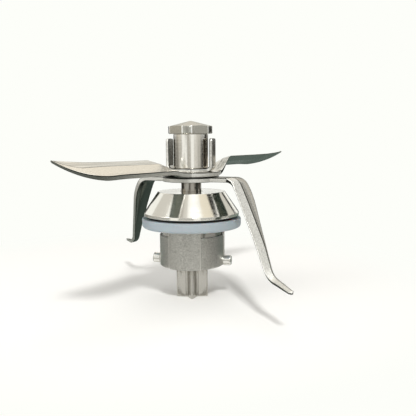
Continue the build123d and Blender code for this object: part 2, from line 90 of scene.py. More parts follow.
forward = np.array([math.sin(YAW) * math.cos(PITCH), math.cos(YAW) * math.cos(PITCH), -math.sin(PITCH)])
right = np.array([math.cos(YAW), -math.sin(YAW), 0.0])
up = np.cross(right, forward)
camera_x = right * math.cos(ROLL) + up * math.sin(ROLL)
camera_y = up * math.cos(ROLL) - right * math.sin(ROLL)
about_z = np.array([[math.cos(TURN), -math.sin(TURN), 0], [math.sin(TURN), math.cos(TURN), 0], [0, 0, 1]])
place = np.eye(4)
place[:3, :3] = about_z @ np.column_stack([camera_x, camera_y, -forward])
place[:3, 3] = about_z @ np.array([0, -DISTANCE, HEIGHT]) * MM

camera = put("studio_camera", bpy.data.cameras.new("studio_camera"))
camera.data.sensor_width = SENSOR
camera.data.lens = SENSOR * FOCAL_PIXELS / IMAGE_PIXELS
camera.data.clip_start = 0.01
camera.data.clip_end = 50
camera.matrix_world = Matrix(place.tolist())
bpy.context.scene.camera = camera
print("camera at", np.round(place[:3, 3], 4), "lens", round(camera.data.lens, 2))

# %% [markdown]
# ## Colour and nodes
# Colours are written as the hex values a screen shows. Shaders work with linear light, so one function turns
# them over. A second small function adds a shader node, sets its sockets and makes its links in one line.

# %% Colour and node helpers


def linear(hex_colour):
    """Linear RGBA of an sRGB hex colour: the standard screen curve undone channel by channel."""
    screen = np.array([int(hex_colour[i:i + 2], 16) for i in (1, 3, 5)]) / 255
    light = np.where(screen <= 0.04045, screen / 12.92, ((screen + 0.055) / 1.055) ** 2.4)
    return (*light.tolist(), 1.0)


def add(tree, kind, links=None, sockets=None, **settings):
    """Adds one node, with its settings, its fixed socket values and the links into its sockets."""
    node = tree.nodes.new(kind)
    for key, value in settings.items():
        setattr(node, key, value)
    for key, value in (sockets or {}).items():
        node.inputs[key].default_value = value
    for key, source in (links or {}).items():
        tree.links.new(source, node.inputs[key])
    return node


def new_material(name, sockets=None):
    """A material with an output, a Principled shader with some fixed values, and Object coordinates."""
    material = bpy.data.materials.new(name)
    material.use_nodes = True
    tree = material.node_tree
    tree.nodes.clear()
    shader = add(tree, "ShaderNodeBsdfPrincipled", sockets=sockets)
    add(tree, "ShaderNodeOutputMaterial", {"Surface": shader.outputs["BSDF"]})
    coordinates = add(tree, "ShaderNodeTexCoord").outputs["Object"]
    return material, tree, shader, coordinates


print("white is", linear("#ffffff"))

# %% [markdown]
# ## Floor and world
# The part stands on a pale sweep in an evenly lit studio. The world is white where the lens, or a mirror-like
# face, looks straight at it, and gives only a moderate fill to everything else. The paper is an ordinary matt
# floor near the part, where the shadow falls, and fades into the same white further out, as a curved sweep
# does. The shadow lies behind the foot and a little to the left, so the fade is centred there.

# %% Floor
STUDIO_WHITE, PAPER_WHITE, FILL_WHITE, FILL_STRENGTH = "#fdfef9", "#fffefb", "#fffdf8", 0.5
FLOOR_HALF, FADE_START, FADE_END = 6.0, 0.075, 0.15
SHADOW_CENTRE = np.array([-0.02, 0.03, 0.0])


def quads(index):
    """Corner numbers of a grid's cells: cell (i, j) joins (i, j), (i, j+1), (i+1, j+1) and (i+1, j)."""
    cells = np.stack([index[:-1, :-1], index[:-1, 1:], index[1:, 1:], index[1:, :-1]], axis=-1)
    return cells.reshape(-1, 4).tolist()


def stage_card(name, points, material):
    """A sheet of stage card over a grid of points in metres, shaped (rows, columns, 3), seen from the lens."""
    index = np.arange(points[..., 0].size).reshape(points.shape[:2])
    mesh = bpy.data.meshes.new(name)
    mesh.from_pydata((points @ about_z.T).reshape(-1, 3).tolist(), [], quads(index))
    mesh.materials.append(material)
    item = put(name, mesh)
    return item


def seen_directly(tree):
    """One where a ray comes from the lens, a mirror or a clear body, nought where it only lights something."""
    rays = add(tree, "ShaderNodeLightPath").outputs
    seen = add(tree, "ShaderNodeMath", {0: rays["Is Camera Ray"], 1: rays["Is Glossy Ray"]}, operation="ADD")
    return add(tree, "ShaderNodeMath", {0: seen.outputs[0], 1: rays["Is Transmission Ray"]},
               operation="ADD", use_clamp=True).outputs[0]


# Uncoated paper: matt, with no gloss at all, so that it shows the shadow and nothing else
paper, tree, shader, coordinates = new_material("matt_white_paper", {
    "Base Color": linear(PAPER_WHITE), "Roughness": 0.9, "Specular IOR Level": 0.0,
})
away = add(tree, "ShaderNodeVectorMath", {0: coordinates}, {1: about_z @ SHADOW_CENTRE}, operation="DISTANCE")
fade = add(tree, "ShaderNodeMapRange", {"Value": away.outputs["Value"]},
           {"From Min": FADE_START, "From Max": FADE_END}, interpolation_type="SMOOTHSTEP")
share = add(tree, "ShaderNodeMath", {0: fade.outputs[0], 1: seen_directly(tree)}, operation="MULTIPLY")
glow = add(tree, "ShaderNodeEmission", sockets={"Color": linear(STUDIO_WHITE), "Strength": 1.0})
sweep = add(tree, "ShaderNodeMixShader", {"Fac": share.outputs[0], 1: shader.outputs[0], 2: glow.outputs[0]})
tree.links.new(sweep.outputs[0], tree.nodes["Material Output"].inputs["Surface"])
floor_corners = FLOOR_HALF * np.array([[(-1, -1, 0), (1, -1, 0)], [(-1, 1, 0), (1, 1, 0)]])
stage_card("pale_floor", floor_corners, paper)
print("floor", 2 * FLOOR_HALF, "m wide, white from", FADE_END, "m off the shadow")

# %% World
world = bpy.data.worlds.new("white_studio")
bpy.context.scene.world = world
world.use_nodes = True
tree = world.node_tree
tree.nodes.clear()
fill = add(tree, "ShaderNodeBackground", sockets={"Color": linear(FILL_WHITE), "Strength": FILL_STRENGTH})
white = add(tree, "ShaderNodeBackground", sockets={"Color": linear(STUDIO_WHITE), "Strength": 1.0})
mixed = add(tree, "ShaderNodeMixShader", {"Fac": seen_directly(tree), 1: fill.outputs[0], 2: white.outputs[0]})
add(tree, "ShaderNodeOutputWorld", {"Surface": mixed.outputs[0]})
print("world", world.name, "with a fill of", FILL_STRENGTH)

# %% [markdown]
# ## Lamps
# One soft lamp in front and above throws the shadow back and a little to the left, and two weaker, larger
# ones soften it.

# %% Lamps
LAMP_DISTANCE = 1.2
MIDDLE = np.array([0, 0, 0.045])


def soft_lamp(name, direction, size, power):
    """A square area lamp that stands off along a direction seen from the lens, aimed at the part's middle."""
    lamp = put(name, bpy.data.lights.new(name, "AREA"))
    lamp.data.size = size
    lamp.data.energy = power
    towards = about_z @ np.array(direction, float)
    towards = towards / np.linalg.norm(towards)
    lamp.location = MIDDLE + towards * LAMP_DISTANCE
    lamp.rotation_euler = Vector(towards).to_track_quat("Z", "Y").to_euler()


soft_lamp("key_softbox", (0.1, -0.66, 0.74), size=0.16, power=7.65)
soft_lamp("left_softbox", (-0.9, -0.35, 0.55), size=0.6, power=2.4)
soft_lamp("top_softbox", (0.1, 0.35, 1.0), size=0.7, power=1.92)

# %% [markdown]
# ## Flags
# Polished steel in an all-white room looks like white plaster: it needs something darker to mirror. A
# photographer sets cards of cloth, called flags, just out of the picture, and the bands on the metal are their
# images. Eight plain tones are enough here. A flag is a patch of one large ball round the part, given by the
# directions that it covers. Flags show in reflections only: neither the lens nor the shadows see them.

# %% Flag cloth
BLACK, CHARCOAL, GREY, LIGHT, PALE = "#1c1b19", "#55534e", "#85837c", "#bab8b0", "#d6d4cc"
CREAM, IVORY, GREEN = "#efe8d6", "#fbf4e6", "#7f8a82"


def flag_cloth(tone):
    """Cloth glowing in one tone, so that it mirrors as the colour it is written: a painted reflection."""
    material = bpy.data.materials.new("flag_cloth_" + tone[1:])
    material.use_nodes = True
    tree = material.node_tree
    tree.nodes.clear()
    glow = add(tree, "ShaderNodeEmission", sockets={"Color": linear(tone), "Strength": 1.0})
    add(tree, "ShaderNodeOutputMaterial", {"Surface": glow.outputs[0]})
    return material


cloths = {tone: flag_cloth(tone) for tone in (BLACK, CHARCOAL, GREY, LIGHT, PALE, CREAM, IVORY, GREEN)}
print("cloths", len(cloths))

# %% Flags
FLAG_DISTANCE = 0.42


def mirror_card(name, points, tone):
    """A card that the lens, the shadows and the fill light pass through, and that only reflections show."""
    item = stage_card(name, points, cloths[tone])
    item.visible_camera = item.visible_diffuse = item.visible_shadow = item.visible_transmission = False


def flag(name, first, last, low, high, tone):
    """Patch of the ball between two azimuths and two elevations in degrees.

    Azimuth 0 is the lens and 90 the right. Nine by five points are round enough for a reflection.
    """
    turn, rise = np.meshgrid(np.radians(np.linspace(first, last, 9)), np.radians(np.linspace(low, high, 5)))
    away = np.stack([np.sin(turn) * np.cos(rise), -np.cos(turn) * np.cos(rise), np.sin(rise)], axis=-1)
    mirror_card(name, MIDDLE + away * FLAG_DISTANCE, tone)


# Bands of the shaft, the sleeve and the nut, from the floor up: one row for each height
level_flags = {
    (-5.8, -3.6): [(-150, -85, CHARCOAL), (-30, -10, CHARCOAL), (35, 75, BLACK), (75, 130, GREY)],
    (-3.6, 4.2): [
        (-180, -145, BLACK), (-145, -90, GREY), (-90, -60, LIGHT), (-25, 0, LIGHT), (20, 45, PALE),
        (45, 65, LIGHT), (65, 74, GREY), (74, 120, BLACK), (120, 150, GREY), (150, 180, BLACK),
    ],
    (4.2, 14): [(-170, -150, BLACK), (-110, -70, CREAM), (-40, -10, LIGHT), (35, 70, PALE), (105, 140, BLACK)],
}
for (low, high), row in level_flags.items():
    for first, last, tone in row:
        flag("level_flag_%d_%d" % (low, first), first, last, low, high, tone)

# Bands of the cone, and the soft grey on the tops of the wings, which face up and back
high_flags = [
    (-120, -80, 25, 53, PALE), (-45, -30, 44, 70, LIGHT), (-30, -15, 46, 70, PALE), (35, 70, 46, 64, CREAM),
    (70, 90, 44, 62, BLACK), (105, 132, 15, 42, PALE), (132, 141, 15, 30, BLACK), (145, 215, 14, 26.5, PALE),
    (145, 215, 27, 60, IVORY),
]
for first, last, low, high, tone in high_flags:
    flag("high_flag_%d_%d" % (low, first), first, last, low, high, tone)

# %% [markdown]
# ## Cards on the floor
# Steep walls seen from above mirror the floor in front of them: the lower a wall, the nearer the floor that it
# shows. Cards laid round the foot in three rings therefore band the coupling, the housing and the rim of
# the cone one by one, and a grey-green mat behind the part darkens the undersides of the blades.

# %% Cards on the floor
CARD_HEIGHT = 0.0005


def floor_card(name, first, last, near, far, tone):
    """Ring sector on the floor round the foot, between two azimuths in degrees and two distances in metres."""
    turn, away = np.meshgrid(np.radians(np.linspace(first, last, 9)), [near, far])
    points = np.stack([away * np.sin(turn), -away * np.cos(turn), CARD_HEIGHT + 0 * away], axis=-1)
    mirror_card(name, points, tone)


floor_cards = {
    (0.003, 0.055): [(-150, -105, PALE), (-60, -40, LIGHT), (35, 60, LIGHT), (105, 150, LIGHT)],
    (0.055, 0.16): [(-150, -75, GREY), (-75, 60, LIGHT), (60, 90, GREY), (90, 150, CHARCOAL)],
    (0.23, 0.34): [(-150, -50, GREY), (-30, 5, GREY), (20, 150, GREY)],
}
for (near, far), row in floor_cards.items():
    for first, last, tone in row:
        floor_card("floor_card_%d_%d" % (far / MM, first), first, last, near, far, tone)
mat = np.array([[(-0.12, 0.02, 0.001), (0.25, 0.02, 0.001)], [(-0.12, 0.3, 0.001), (0.25, 0.3, 0.001)]])
mirror_card("back_mat", mat, GREEN)
print("floor cards", sum(len(row) for row in floor_cards.values()))

# %% [markdown]
# ## Grids of points
# Most pieces here are turned on a lathe, swept along a line or pressed from strip. Each is a function of two
# parameters: the points form a grid, one parameter runs along the rows and the other along the columns.
# One helper closes a grid into a mesh and another carries a profile round the shaft. A third rounds the
# corners of a profile, because no real edge is perfectly sharp and a tiny radius is what catches the light.

# %% Grid helpers


def grid_mesh(name, points, close_rows=False, cap_ends=False):
    """Mesh of a grid of points in millimetres, shaped (rows, columns, 3), whose columns wrap round.

    Closed rows wrap round too, and capped ends are closed by one face over the whole first and last row.
    """
    rows, columns = points.shape[:2]
    index = np.arange(rows * columns).reshape(rows, columns)
    wrapped = np.concatenate([index, index[:1]]) if close_rows else index
    wrapped = np.concatenate([wrapped, wrapped[:, :1]], axis=1)
    caps = [index[0, ::-1].tolist(), index[-1].tolist()] if cap_ends else []
    mesh = bpy.data.meshes.new(name)
    mesh.from_pydata((points.reshape(-1, 3) * MM).tolist(), [], quads(wrapped) + caps)
    shell = bmesh.new()
    shell.from_mesh(mesh)
    bmesh.ops.recalc_face_normals(shell, faces=shell.faces)
    shell.to_mesh(mesh)
    shell.free()
    return mesh


def rounded(corners, radii, steps=4):
    """Closed chain of corners, the last axis holding coordinates, with each corner cut by a circular arc.

    An arc of radius r touches both sides at r over the tangent of half the corner's angle, kept under 45% of
    the shorter side. Between them runs a rational quadratic curve whose middle weight is the sine of that half
    angle, which is exactly a circle.
    """
    corners = np.asarray(corners, float)
    radii = np.broadcast_to(np.asarray(radii, float), corners.shape[:-1])[..., None]
    before = np.roll(corners, 1, axis=-2) - corners
    after = np.roll(corners, -1, axis=-2) - corners
    length_before = np.linalg.norm(before, axis=-1, keepdims=True)
    length_after = np.linalg.norm(after, axis=-1, keepdims=True)
    before, after = before / length_before, after / length_after
    half = np.arccos(np.clip((before * after).sum(axis=-1, keepdims=True), -1, 1)) / 2
    touch = np.minimum(radii / np.tan(half), 0.45 * np.minimum(length_before, length_after))
    chain = (corners + before * touch, corners, corners + after * touch)
    start, middle, end = (np.expand_dims(points, -2) for points in chain)
    share = np.linspace(0, 1, steps)[:, None]
    weight = np.expand_dims(np.sin(half), -2)
    blend = (1 - share) ** 2 + 2 * weight * share * (1 - share) + share ** 2
    arc = ((1 - share) ** 2 * start + 2 * weight * share * (1 - share) * middle + share ** 2 * end) / blend
    return arc.reshape(*corners.shape[:-2], -1, corners.shape[-1])


print("a rounded square has", len(rounded([(0, 0), (1, 0), (1, 1), (0, 1)], 0.1)), "points")

# %% Turned shapes


def round_shaft(radius, height, angle):
    """Grid of loops round +Z: each row has a radius and a height, which may change with the angle."""
    return np.stack([radius * np.cos(angle), radius * np.sin(angle), height + 0 * angle], axis=-1)


def turned(profile, columns=192):
    """Surface of revolution: each (radius, height) of a profile carried once round +Z."""
    return round_shaft(profile[:, :1], profile[:, 1:], np.linspace(0, 2 * np.pi, columns, endpoint=False))


def level_rows(levels, angle):
    """Radii and heights of some levels as two grids: a row for each level, a column for each angle."""
    return [np.stack([value + 0 * angle for value in values]) for values in zip(*levels)]


def about_shaft(points, degrees):
    """Points turned about +Z."""
    cosine, sine = math.cos(math.radians(degrees)), math.sin(math.radians(degrees))
    return points @ np.array([[cosine, sine, 0], [-sine, cosine, 0], [0, 0, 1]])


print("a turned cylinder has", turned(np.array([(1.0, 0.0), (1.0, 1.0)])).shape[:2], "rows and columns")

# %% Steps and pieces


def step_up(value, start, end):
    """Share of the way from start to end, kept between nought and one."""
    return np.clip((value - start) / (end - start), 0, 1)


def smooth_step(value, start, end):
    """The same share with soft ends: three times its square less twice its cube."""
    share = step_up(value, start, end)
    return share * share * (3 - 2 * share)


def piece(name, mesh, body, node, slot, *finishes):
    """Links a smooth-shaded mesh as a piece that rides on a body and stands for a CAD node."""
    mesh.shade_smooth()
    item = put(name, mesh)
    normals = item.modifiers.new("flat faces stay flat", "WEIGHTED_NORMAL")
    normals.weight = 80
    for finish in finishes:
        mesh.materials.append(finish)
    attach(item, body)
    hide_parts(node)
    print(name, len(mesh.polygons), "faces, size", np.round(np.array(item.dimensions) / MM, 2))


print("half way up", step_up(1.5, 1.0, 2.0), smooth_step(1.5, 1.0, 2.0))

# %% [markdown]
# ## Polished steel
# Almost everything here is stainless steel, and only the way the surface was made tells the pieces apart.
# Steel is a metal: its colour is its reflection, so the base colour stays a pale warm grey, metallic is 1 and
# the default IOR is kept. Roughness and a fine bump do the rest. A flat colour would look like plastic: the
# faint lines of the buffing wheel are what makes a mirror look like worked metal.

# %% Polished steel
# Streaks for each metre along X, Y and Z: 11 mm long round the axis and 0.5 mm apart along it. Real hairlines
# are fifty times finer and would not show, so they are drawn this coarse.
HAIRLINES = (90, 90, 2000)


def mirror_steel(name, colour, roughness):
    """Buffed steel: a sharp reflection whose roughness and height follow hairlines round the axis."""
    material, tree, shader, coordinates = new_material(name, {"Base Color": linear(colour), "Metallic": 1.0})
    stretched = add(tree, "ShaderNodeMapping", {"Vector": coordinates}, {"Scale": HAIRLINES})
    hairs = add(tree, "ShaderNodeTexNoise", {"Vector": stretched.outputs[0]},
                {"Scale": 1.0, "Detail": 3.0, "Roughness": 0.6}).outputs["Fac"]
    spread = add(tree, "ShaderNodeMapRange", {"Value": hairs},
                 {"From Min": 0.3, "From Max": 0.7, "To Min": roughness * 0.7, "To Max": roughness * 1.5})
    bump = add(tree, "ShaderNodeBump", {"Height": hairs}, {"Strength": 0.06, "Distance": 0.1 * MM})
    tree.links.new(spread.outputs[0], shader.inputs["Roughness"])
    tree.links.new(bump.outputs[0], shader.inputs["Normal"])
    return material


# Buffed on the wheel: a bright mirror that carries the studio in long bands round the cone
polished_cone = mirror_steel("stainless_steel_buffed", "#f3f0e9", 0.12)
# Drawn tube, buffed: the bands stand upright and close together
polished_sleeve = mirror_steel("stainless_steel_buffed_tube", "#efece6", 0.12)
# Free-cutting steel, polished where the seal runs: one thin glint on a darker grey, painted shade under the
# blades
polished_shaft = mirror_steel("free_cutting_steel_polished_painted_shade", "#9c9891", 0.1)
# Fine turned and left unbuffed: softer than the cone above it, and greyer with painted shade of the notches
neck_painted_shade = mirror_steel("stainless_steel_neck_painted_shade", "#a6a39d", 0.16)
print("polished", [finish.name for finish in (polished_cone, polished_sleeve, polished_shaft, neck_painted_shade)])

# %% [markdown]
# ## Satin and cast steel
# The nut and the coupling are finished to a satin grey, and the housing is cast and left with its fine sandy
# skin. All of them are the same few nodes with another grain size: a speckle that changes colour and height
# together, because a pit is both darker and deeper. Real grains are finer than a pixel of the picture, so each
# is drawn a few times coarser, at 0.2 to 0.6 mm, to show at all.

# %% Grained steel
PATCH_MM = 9.0


def grained_steel(name, colour, shade, grain_mm, roughness, relief_mm, painted_shade_colour=None):
    """Metal with a random speckle of one grain size, whose colour and height follow the speckle.

    A second, larger noise varies the roughness in slow patches, as handling does. Where a shade colour is
    given, the colour is multiplied by it as far as the face's shade attribute says, which paints shade.
    """
    material, tree, shader, coordinates = new_material(name, {"Metallic": 1.0})
    grain = add(tree, "ShaderNodeTexNoise", {"Vector": coordinates},
                {"Scale": 1 / (grain_mm * MM), "Detail": 3.0, "Roughness": 0.65}).outputs["Fac"]
    patch = add(tree, "ShaderNodeTexNoise", {"Vector": coordinates},
                {"Scale": 1 / (PATCH_MM * MM), "Detail": 2.0}).outputs["Fac"]
    speck = add(tree, "ShaderNodeMapRange", {"Value": grain}, {"From Min": 0.3, "From Max": 0.7})
    tone = add(tree, "ShaderNodeMix", {"Factor": speck.outputs[0]}, {"A": linear(shade), "B": linear(colour)},
               data_type="RGBA").outputs["Result"]
    # Painted shade: the colour darkens as far as the face's attribute says
    if painted_shade_colour:
        edge_shade = add(tree, "ShaderNodeAttribute", attribute_name="edge_shade").outputs["Fac"]
        tone = add(tree, "ShaderNodeMix", {"Factor": edge_shade, "A": tone}, {"B": linear(painted_shade_colour)},
                   data_type="RGBA", blend_type="MULTIPLY").outputs["Result"]
    spread = add(tree, "ShaderNodeMapRange", {"Value": patch},
                 {"From Min": 0.3, "From Max": 0.7, "To Min": roughness * 0.88, "To Max": roughness * 1.12})
    bump = add(tree, "ShaderNodeBump", {"Height": grain}, {"Strength": 0.5, "Distance": relief_mm * MM})
    tree.links.new(tone, shader.inputs["Base Color"])
    tree.links.new(spread.outputs[0], shader.inputs["Roughness"])
    tree.links.new(bump.outputs[0], shader.inputs["Normal"])
    return material


print("speckles in patches of", PATCH_MM, "mm")

# %% Satin, cast and turned steels
# Blasted with fine beads: the mirror breaks up into an even satin grey
satin_nut = grained_steel("stainless_steel_satin_blasted", "#cbcac4", "#b0afa9", 0.25, 0.22, 0.03)
# A thin bright line where a flat meets a corner: a painted highlight
nut_painted_highlight = grained_steel("stainless_steel_painted_highlight", "#ffffff", "#f4f2ee", 0.25, 0.3, 0.01)
# Sintered and sized in a die: grey lobes with soft, broad reflections
satin_coupling = grained_steel("sintered_steel_satin", "#c8c6c0", "#afada7", 0.3, 0.2, 0.02)
# Cast in a fine shell mould: a sandy skin with light and dark grains
cast_housing = grained_steel("cast_steel_sandy_skin", "#d8d7d2", "#979691", 0.45, 0.4, 0.14)
# The same skin, paler, in a line along the edge of each land: a painted highlight
land_painted_highlight = grained_steel("cast_steel_painted_highlight", "#f4f3ef", "#dcdad5", 0.45, 0.4, 0.06)
# Ground between centres: a small bright pin, almost without grain
bright_pin = grained_steel("ground_pin_steel", "#f2f1ed", "#e2e0db", 0.2, 0.2, 0.01)
# Turned with a narrow tool and never polished, so rough; its near-black colour is painted shade under the
# cone's rim
groove_painted_shade = grained_steel("stainless_steel_groove_painted_shade", "#4b4a47", "#3b3a38", 0.3, 0.5, 0.02)
# Rolled sheet, pressed: smooth and a little darker than the blades
pressed_strap = grained_steel("stainless_sheet_rolled", "#bfbcb5", "#aaa7a0", 0.4, 0.2, 0.015)
# Ground races and balls: a cool, clear shine
bearing_steel = grained_steel("bearing_steel_ground", "#c8c8c6", "#bcbcba", 0.3, 0.18, 0.01)
# Turned spacers and the screw: a plain dull shine
turned_inside = grained_steel("free_cutting_steel_turned", "#bfbcb5", "#aeaba4", 0.3, 0.32, 0.02)
print("grained steels from", satin_nut.name, "to", turned_inside.name)

# %% [markdown]
# ## Blade steel
# A blade is stamped from rolled strip, tumbled with stones and ground along its edge, and each face shows the
# last step that it saw. One steel all over would lose that, so tops, undersides, cut edges and ground bevels
# have a finish each. The undersides, the rims beside the cuts and the sheared edges towards the tips are
# darkened with painted shade. The bevels carry the streaks of the wheel, which run along the blade.

# %% Blade steel
STREAK_LENGTH, STREAK_WIDTH = 50.0, 1.4

# Tumbled with stones: a soft pale speckle on the wings, and a duller one on the arms
tumbled_blade = grained_steel("blade_steel_tumbled", "#eeebe3", "#dad6cd", 0.5, 0.24, 0.02)
tumbled_arm = grained_steel("blade_steel_tumbled_dull", "#c3c1bb", "#a3a19b", 0.5, 0.27, 0.03)
# Sheared by the press: rough and pale at the hub, and darker towards the tips with painted shade
sheared_edge = grained_steel("blade_steel_sheared_edge", "#e0dfda", "#c4c3be", 0.4, 0.55, 0.05, "#8a8f8c")
# The rolled-over corner beside a cut is drawn as a thin dark outline: painted shade
rim_painted_shade = grained_steel("blade_steel_rim_painted_shade", "#343532", "#282926", 0.5, 0.34, 0.03)
# The mill's rolled skin on the undersides: grey-green and dark with painted shade, darkest under the arms
underside_painted_shade = grained_steel("blade_steel_underside_painted_shade", "#8e9791", "#78817b", 0.6, 0.24, 0.015)
arm_underside_painted_shade = grained_steel("blade_steel_arm_underside_painted_shade", "#68706a", "#586059", 0.6, 0.24, 0.015)
# Ground by a coarse wheel: bright and broken up
ground_edge = grained_steel("blade_steel_ground_edge", "#f6f5f1", "#b9b7b2", 0.5, 0.4, 0.09)

# Ground along the wing: light and dark streaks. Real ones are a tenth as wide, too fine to show.
ground_wing, tree, shader, coordinates = new_material("blade_steel_ground_bevel", {
    "Roughness": 0.24, "Metallic": 1.0,
})
along_blade = add(tree, "ShaderNodeMapping", {"Vector": coordinates}, {
    "Rotation": (0, 0, math.radians(UPPER_BLADE_ANGLE)),
    "Scale": (STREAK_LENGTH * MM, STREAK_WIDTH * MM, STREAK_WIDTH * MM),
}, vector_type="TEXTURE")
streaks = add(tree, "ShaderNodeTexNoise", {"Vector": along_blade.outputs[0]}, {"Scale": 1.0, "Detail": 3.0})
share = add(tree, "ShaderNodeMapRange", {"Value": streaks.outputs["Fac"]}, {"From Min": 0.35, "From Max": 0.65})
tone = add(tree, "ShaderNodeMix", {"Factor": share.outputs[0]},
           {"A": linear("#b8b7b0"), "B": linear("#f6f5f1")}, data_type="RGBA")
tree.links.new(tone.outputs["Result"], shader.inputs["Base Color"])
print("blade steels", [item.name for item in bpy.data.materials if item.name.startswith("blade_steel")])

# %% [markdown]
# ## Silicone, rubber and plastic
# The sealing ring is moulded silicone: blue-grey, matt and very slightly clear. A soft rubber like this
# scatters light under its skin, so a little subsurface takes the hardness out of its shading. The seals and
# the cages of the bearings are seldom seen, yet each gets the finish of its own material.

# %% Moulded finishes


def moulded(name, colour, shade, grain_mm, detail, relief, sockets):
    """Moulded rubber or plastic: a skin whose colour and height follow the fine grain of the mould."""
    material, tree, shader, coordinates = new_material(name, sockets)
    grain = add(tree, "ShaderNodeTexNoise", {"Vector": coordinates},
                {"Scale": 1 / (grain_mm * MM), "Detail": detail}).outputs["Fac"]
    tone = add(tree, "ShaderNodeMix", {"Factor": grain}, {"A": linear(shade), "B": linear(colour)},
               data_type="RGBA")
    bump = add(tree, "ShaderNodeBump", {"Height": grain}, {"Strength": relief, "Distance": 0.03 * MM})
    tree.links.new(tone.outputs["Result"], shader.inputs["Base Color"])
    tree.links.new(bump.outputs[0], shader.inputs["Normal"])
    return material


# Dusty blue-grey with soft shading and hardly a highlight
silicone = moulded("silicone_moulded_blue_grey", "#acb6bc", "#a0abb2", 0.8, 4.0, 0.25, {
    "Roughness": 0.55, "IOR": 1.41, "Subsurface Weight": 0.15, "Subsurface Scale": 1.0 * MM,
})
# Black and matt, with a dull sheen
black_rubber = moulded("nitrile_rubber_moulded", "#2a2a2b", "#1d1d1e", 0.5, 3.0, 0.3,
                       {"Roughness": 0.6, "IOR": 1.52})
# Undyed plastic: a warm cream with a soft shine
cage_polyamide = moulded("polyamide_moulded_natural", "#cbbf9f", "#bdb191", 0.6, 3.0, 0.3,
                         {"Roughness": 0.45, "IOR": 1.53})
print("moulded", [finish.name for finish in (silicone, black_rubber, cage_polyamide)])

# %% [markdown]
# ## The cone cover
# A stainless cone closes the top of the housing, with a sharp rim over the sealing ring. It is turned and
# buffed, so it mirrors the studio in long bands. A polygon with many sides would break them, so a profile is
# carried round the axis, which gives a surface with no facets. The neck and the groove have their own finishes,
# darker than the cone: painted shade.

# %% Cone cover
BEARING_R, SPIGOT_R, NECK_R, GROOVE_R, CONE_RIM_R, CONE_TOP_R = 11.0, 12.4, 13.6, 19.4, 21.1, 14.8
BORE_R, LIP_SEAL_R = 4.9, 9.0
SPIGOT_BOTTOM, SPIGOT_TOP, BEARING_TOP, LIP_SEAL_TOP = 25.0, 27.5, 36.5, 44.0
CONE_COLUMNS, ARC_POINTS = 192, 5
# Rows of the profile that belong to the neck, and after them to the groove under the rim
NECK_ROWS, GROOVE_ROWS = 24, 11

cone_profile = rounded([
    (BEARING_R, SPIGOT_BOTTOM), (SPIGOT_R, SPIGOT_BOTTOM), (SPIGOT_R, SPIGOT_TOP), (NECK_R, SPIGOT_TOP),
    (NECK_R, RING_TOP), (GROOVE_R, RING_TOP), (GROOVE_R, CONE_RIM_BOTTOM), (CONE_RIM_R, CONE_RIM_BOTTOM),
    (CONE_RIM_R, CONE_RIM_TOP), (CONE_TOP_R, CONE_TOP), (BORE_R, CONE_TOP), (BORE_R, LIP_SEAL_TOP),
    (LIP_SEAL_R, LIP_SEAL_TOP), (LIP_SEAL_R, BEARING_TOP), (BEARING_R, BEARING_TOP),
], [0.1, 0.1, 0.1, 0.1, 0.1, 0.2, 0.1, 0.3, 0.3, 0.35, 0.3, 0.2, 0.2, 0.1, 0.1], ARC_POINTS)
cone_mesh = grid_mesh("cone_cover_surface", turned(cone_profile, CONE_COLUMNS), close_rows=True)
profile_row = np.arange(len(cone_profile))
cone_finish = np.select([profile_row < NECK_ROWS, profile_row < NECK_ROWS + GROOVE_ROWS], [2, 1], 0)
cone_mesh.polygons.foreach_set("material_index", np.repeat(cone_finish, CONE_COLUMNS).astype(np.int32))
cone_finishes = (polished_cone, groove_painted_shade, neck_painted_shade)
piece("cone_cover_surface", cone_mesh, "housing", "cone_cover", "polished_steel", *cone_finishes)

# %% [markdown]
# ## The sealing ring
# The ring is moulded with a large radius below, where it enters the jar, and a small one above. A torus would
# be too round, so a rectangle with a radius for each corner is carried round the axis.

# %% Sealing ring
RING_R = 22.0
ring_profile = rounded([(NECK_R, RING_BOTTOM), (RING_R, RING_BOTTOM), (RING_R, RING_TOP), (NECK_R, RING_TOP)],
                       [0.2, 1.3, 0.6, 0.2], 9)
ring_mesh = grid_mesh("sealing_ring_surface", turned(ring_profile), close_rows=True)
piece("sealing_ring_surface", ring_mesh, "housing", "sealing_ring", "silicone", silicone)

# %% [markdown]
# ## The hub sleeve and the shaft
# The sleeve between the stirrup and the nut is a piece of polished tube. Under the blades a short length of
# the turned shaft shows. Bevelled cylinders would do, but a turned profile gives every edge its own small
# radius, as a lathe tool does.

# %% Sleeve and shaft
SLEEVE_BORE, SLEEVE_R = 4.7, 7.6
SCREW_R, DOG_R, JOURNAL_R, SHOULDER_R, BLADE_SEAT_R, THREAD_R = 1.5, 3.0, 4.0, 4.5, 4.3, 3.5
# A solid end stops this far from the axis, and a small cap closes it
AXIS_R = 0.02
SCREW_TIP, SHAFT_BOTTOM, COUPLING_TOP, SHAFT_TOP = 12.0, 4.5, 16.0, 75.6

sleeve_profile = rounded([
    (SLEEVE_BORE, STIRRUP_TOP), (SLEEVE_R, STIRRUP_TOP), (SLEEVE_R, NUT_BOTTOM), (SLEEVE_BORE, NUT_BOTTOM),
], [0.2, 0.35, 0.35, 0.2], 6)
sleeve_mesh = grid_mesh("hub_sleeve_surface", turned(sleeve_profile, 128), close_rows=True)
piece("hub_sleeve_surface", sleeve_mesh, "rotor", "hub_sleeve", "polished_steel", polished_sleeve)

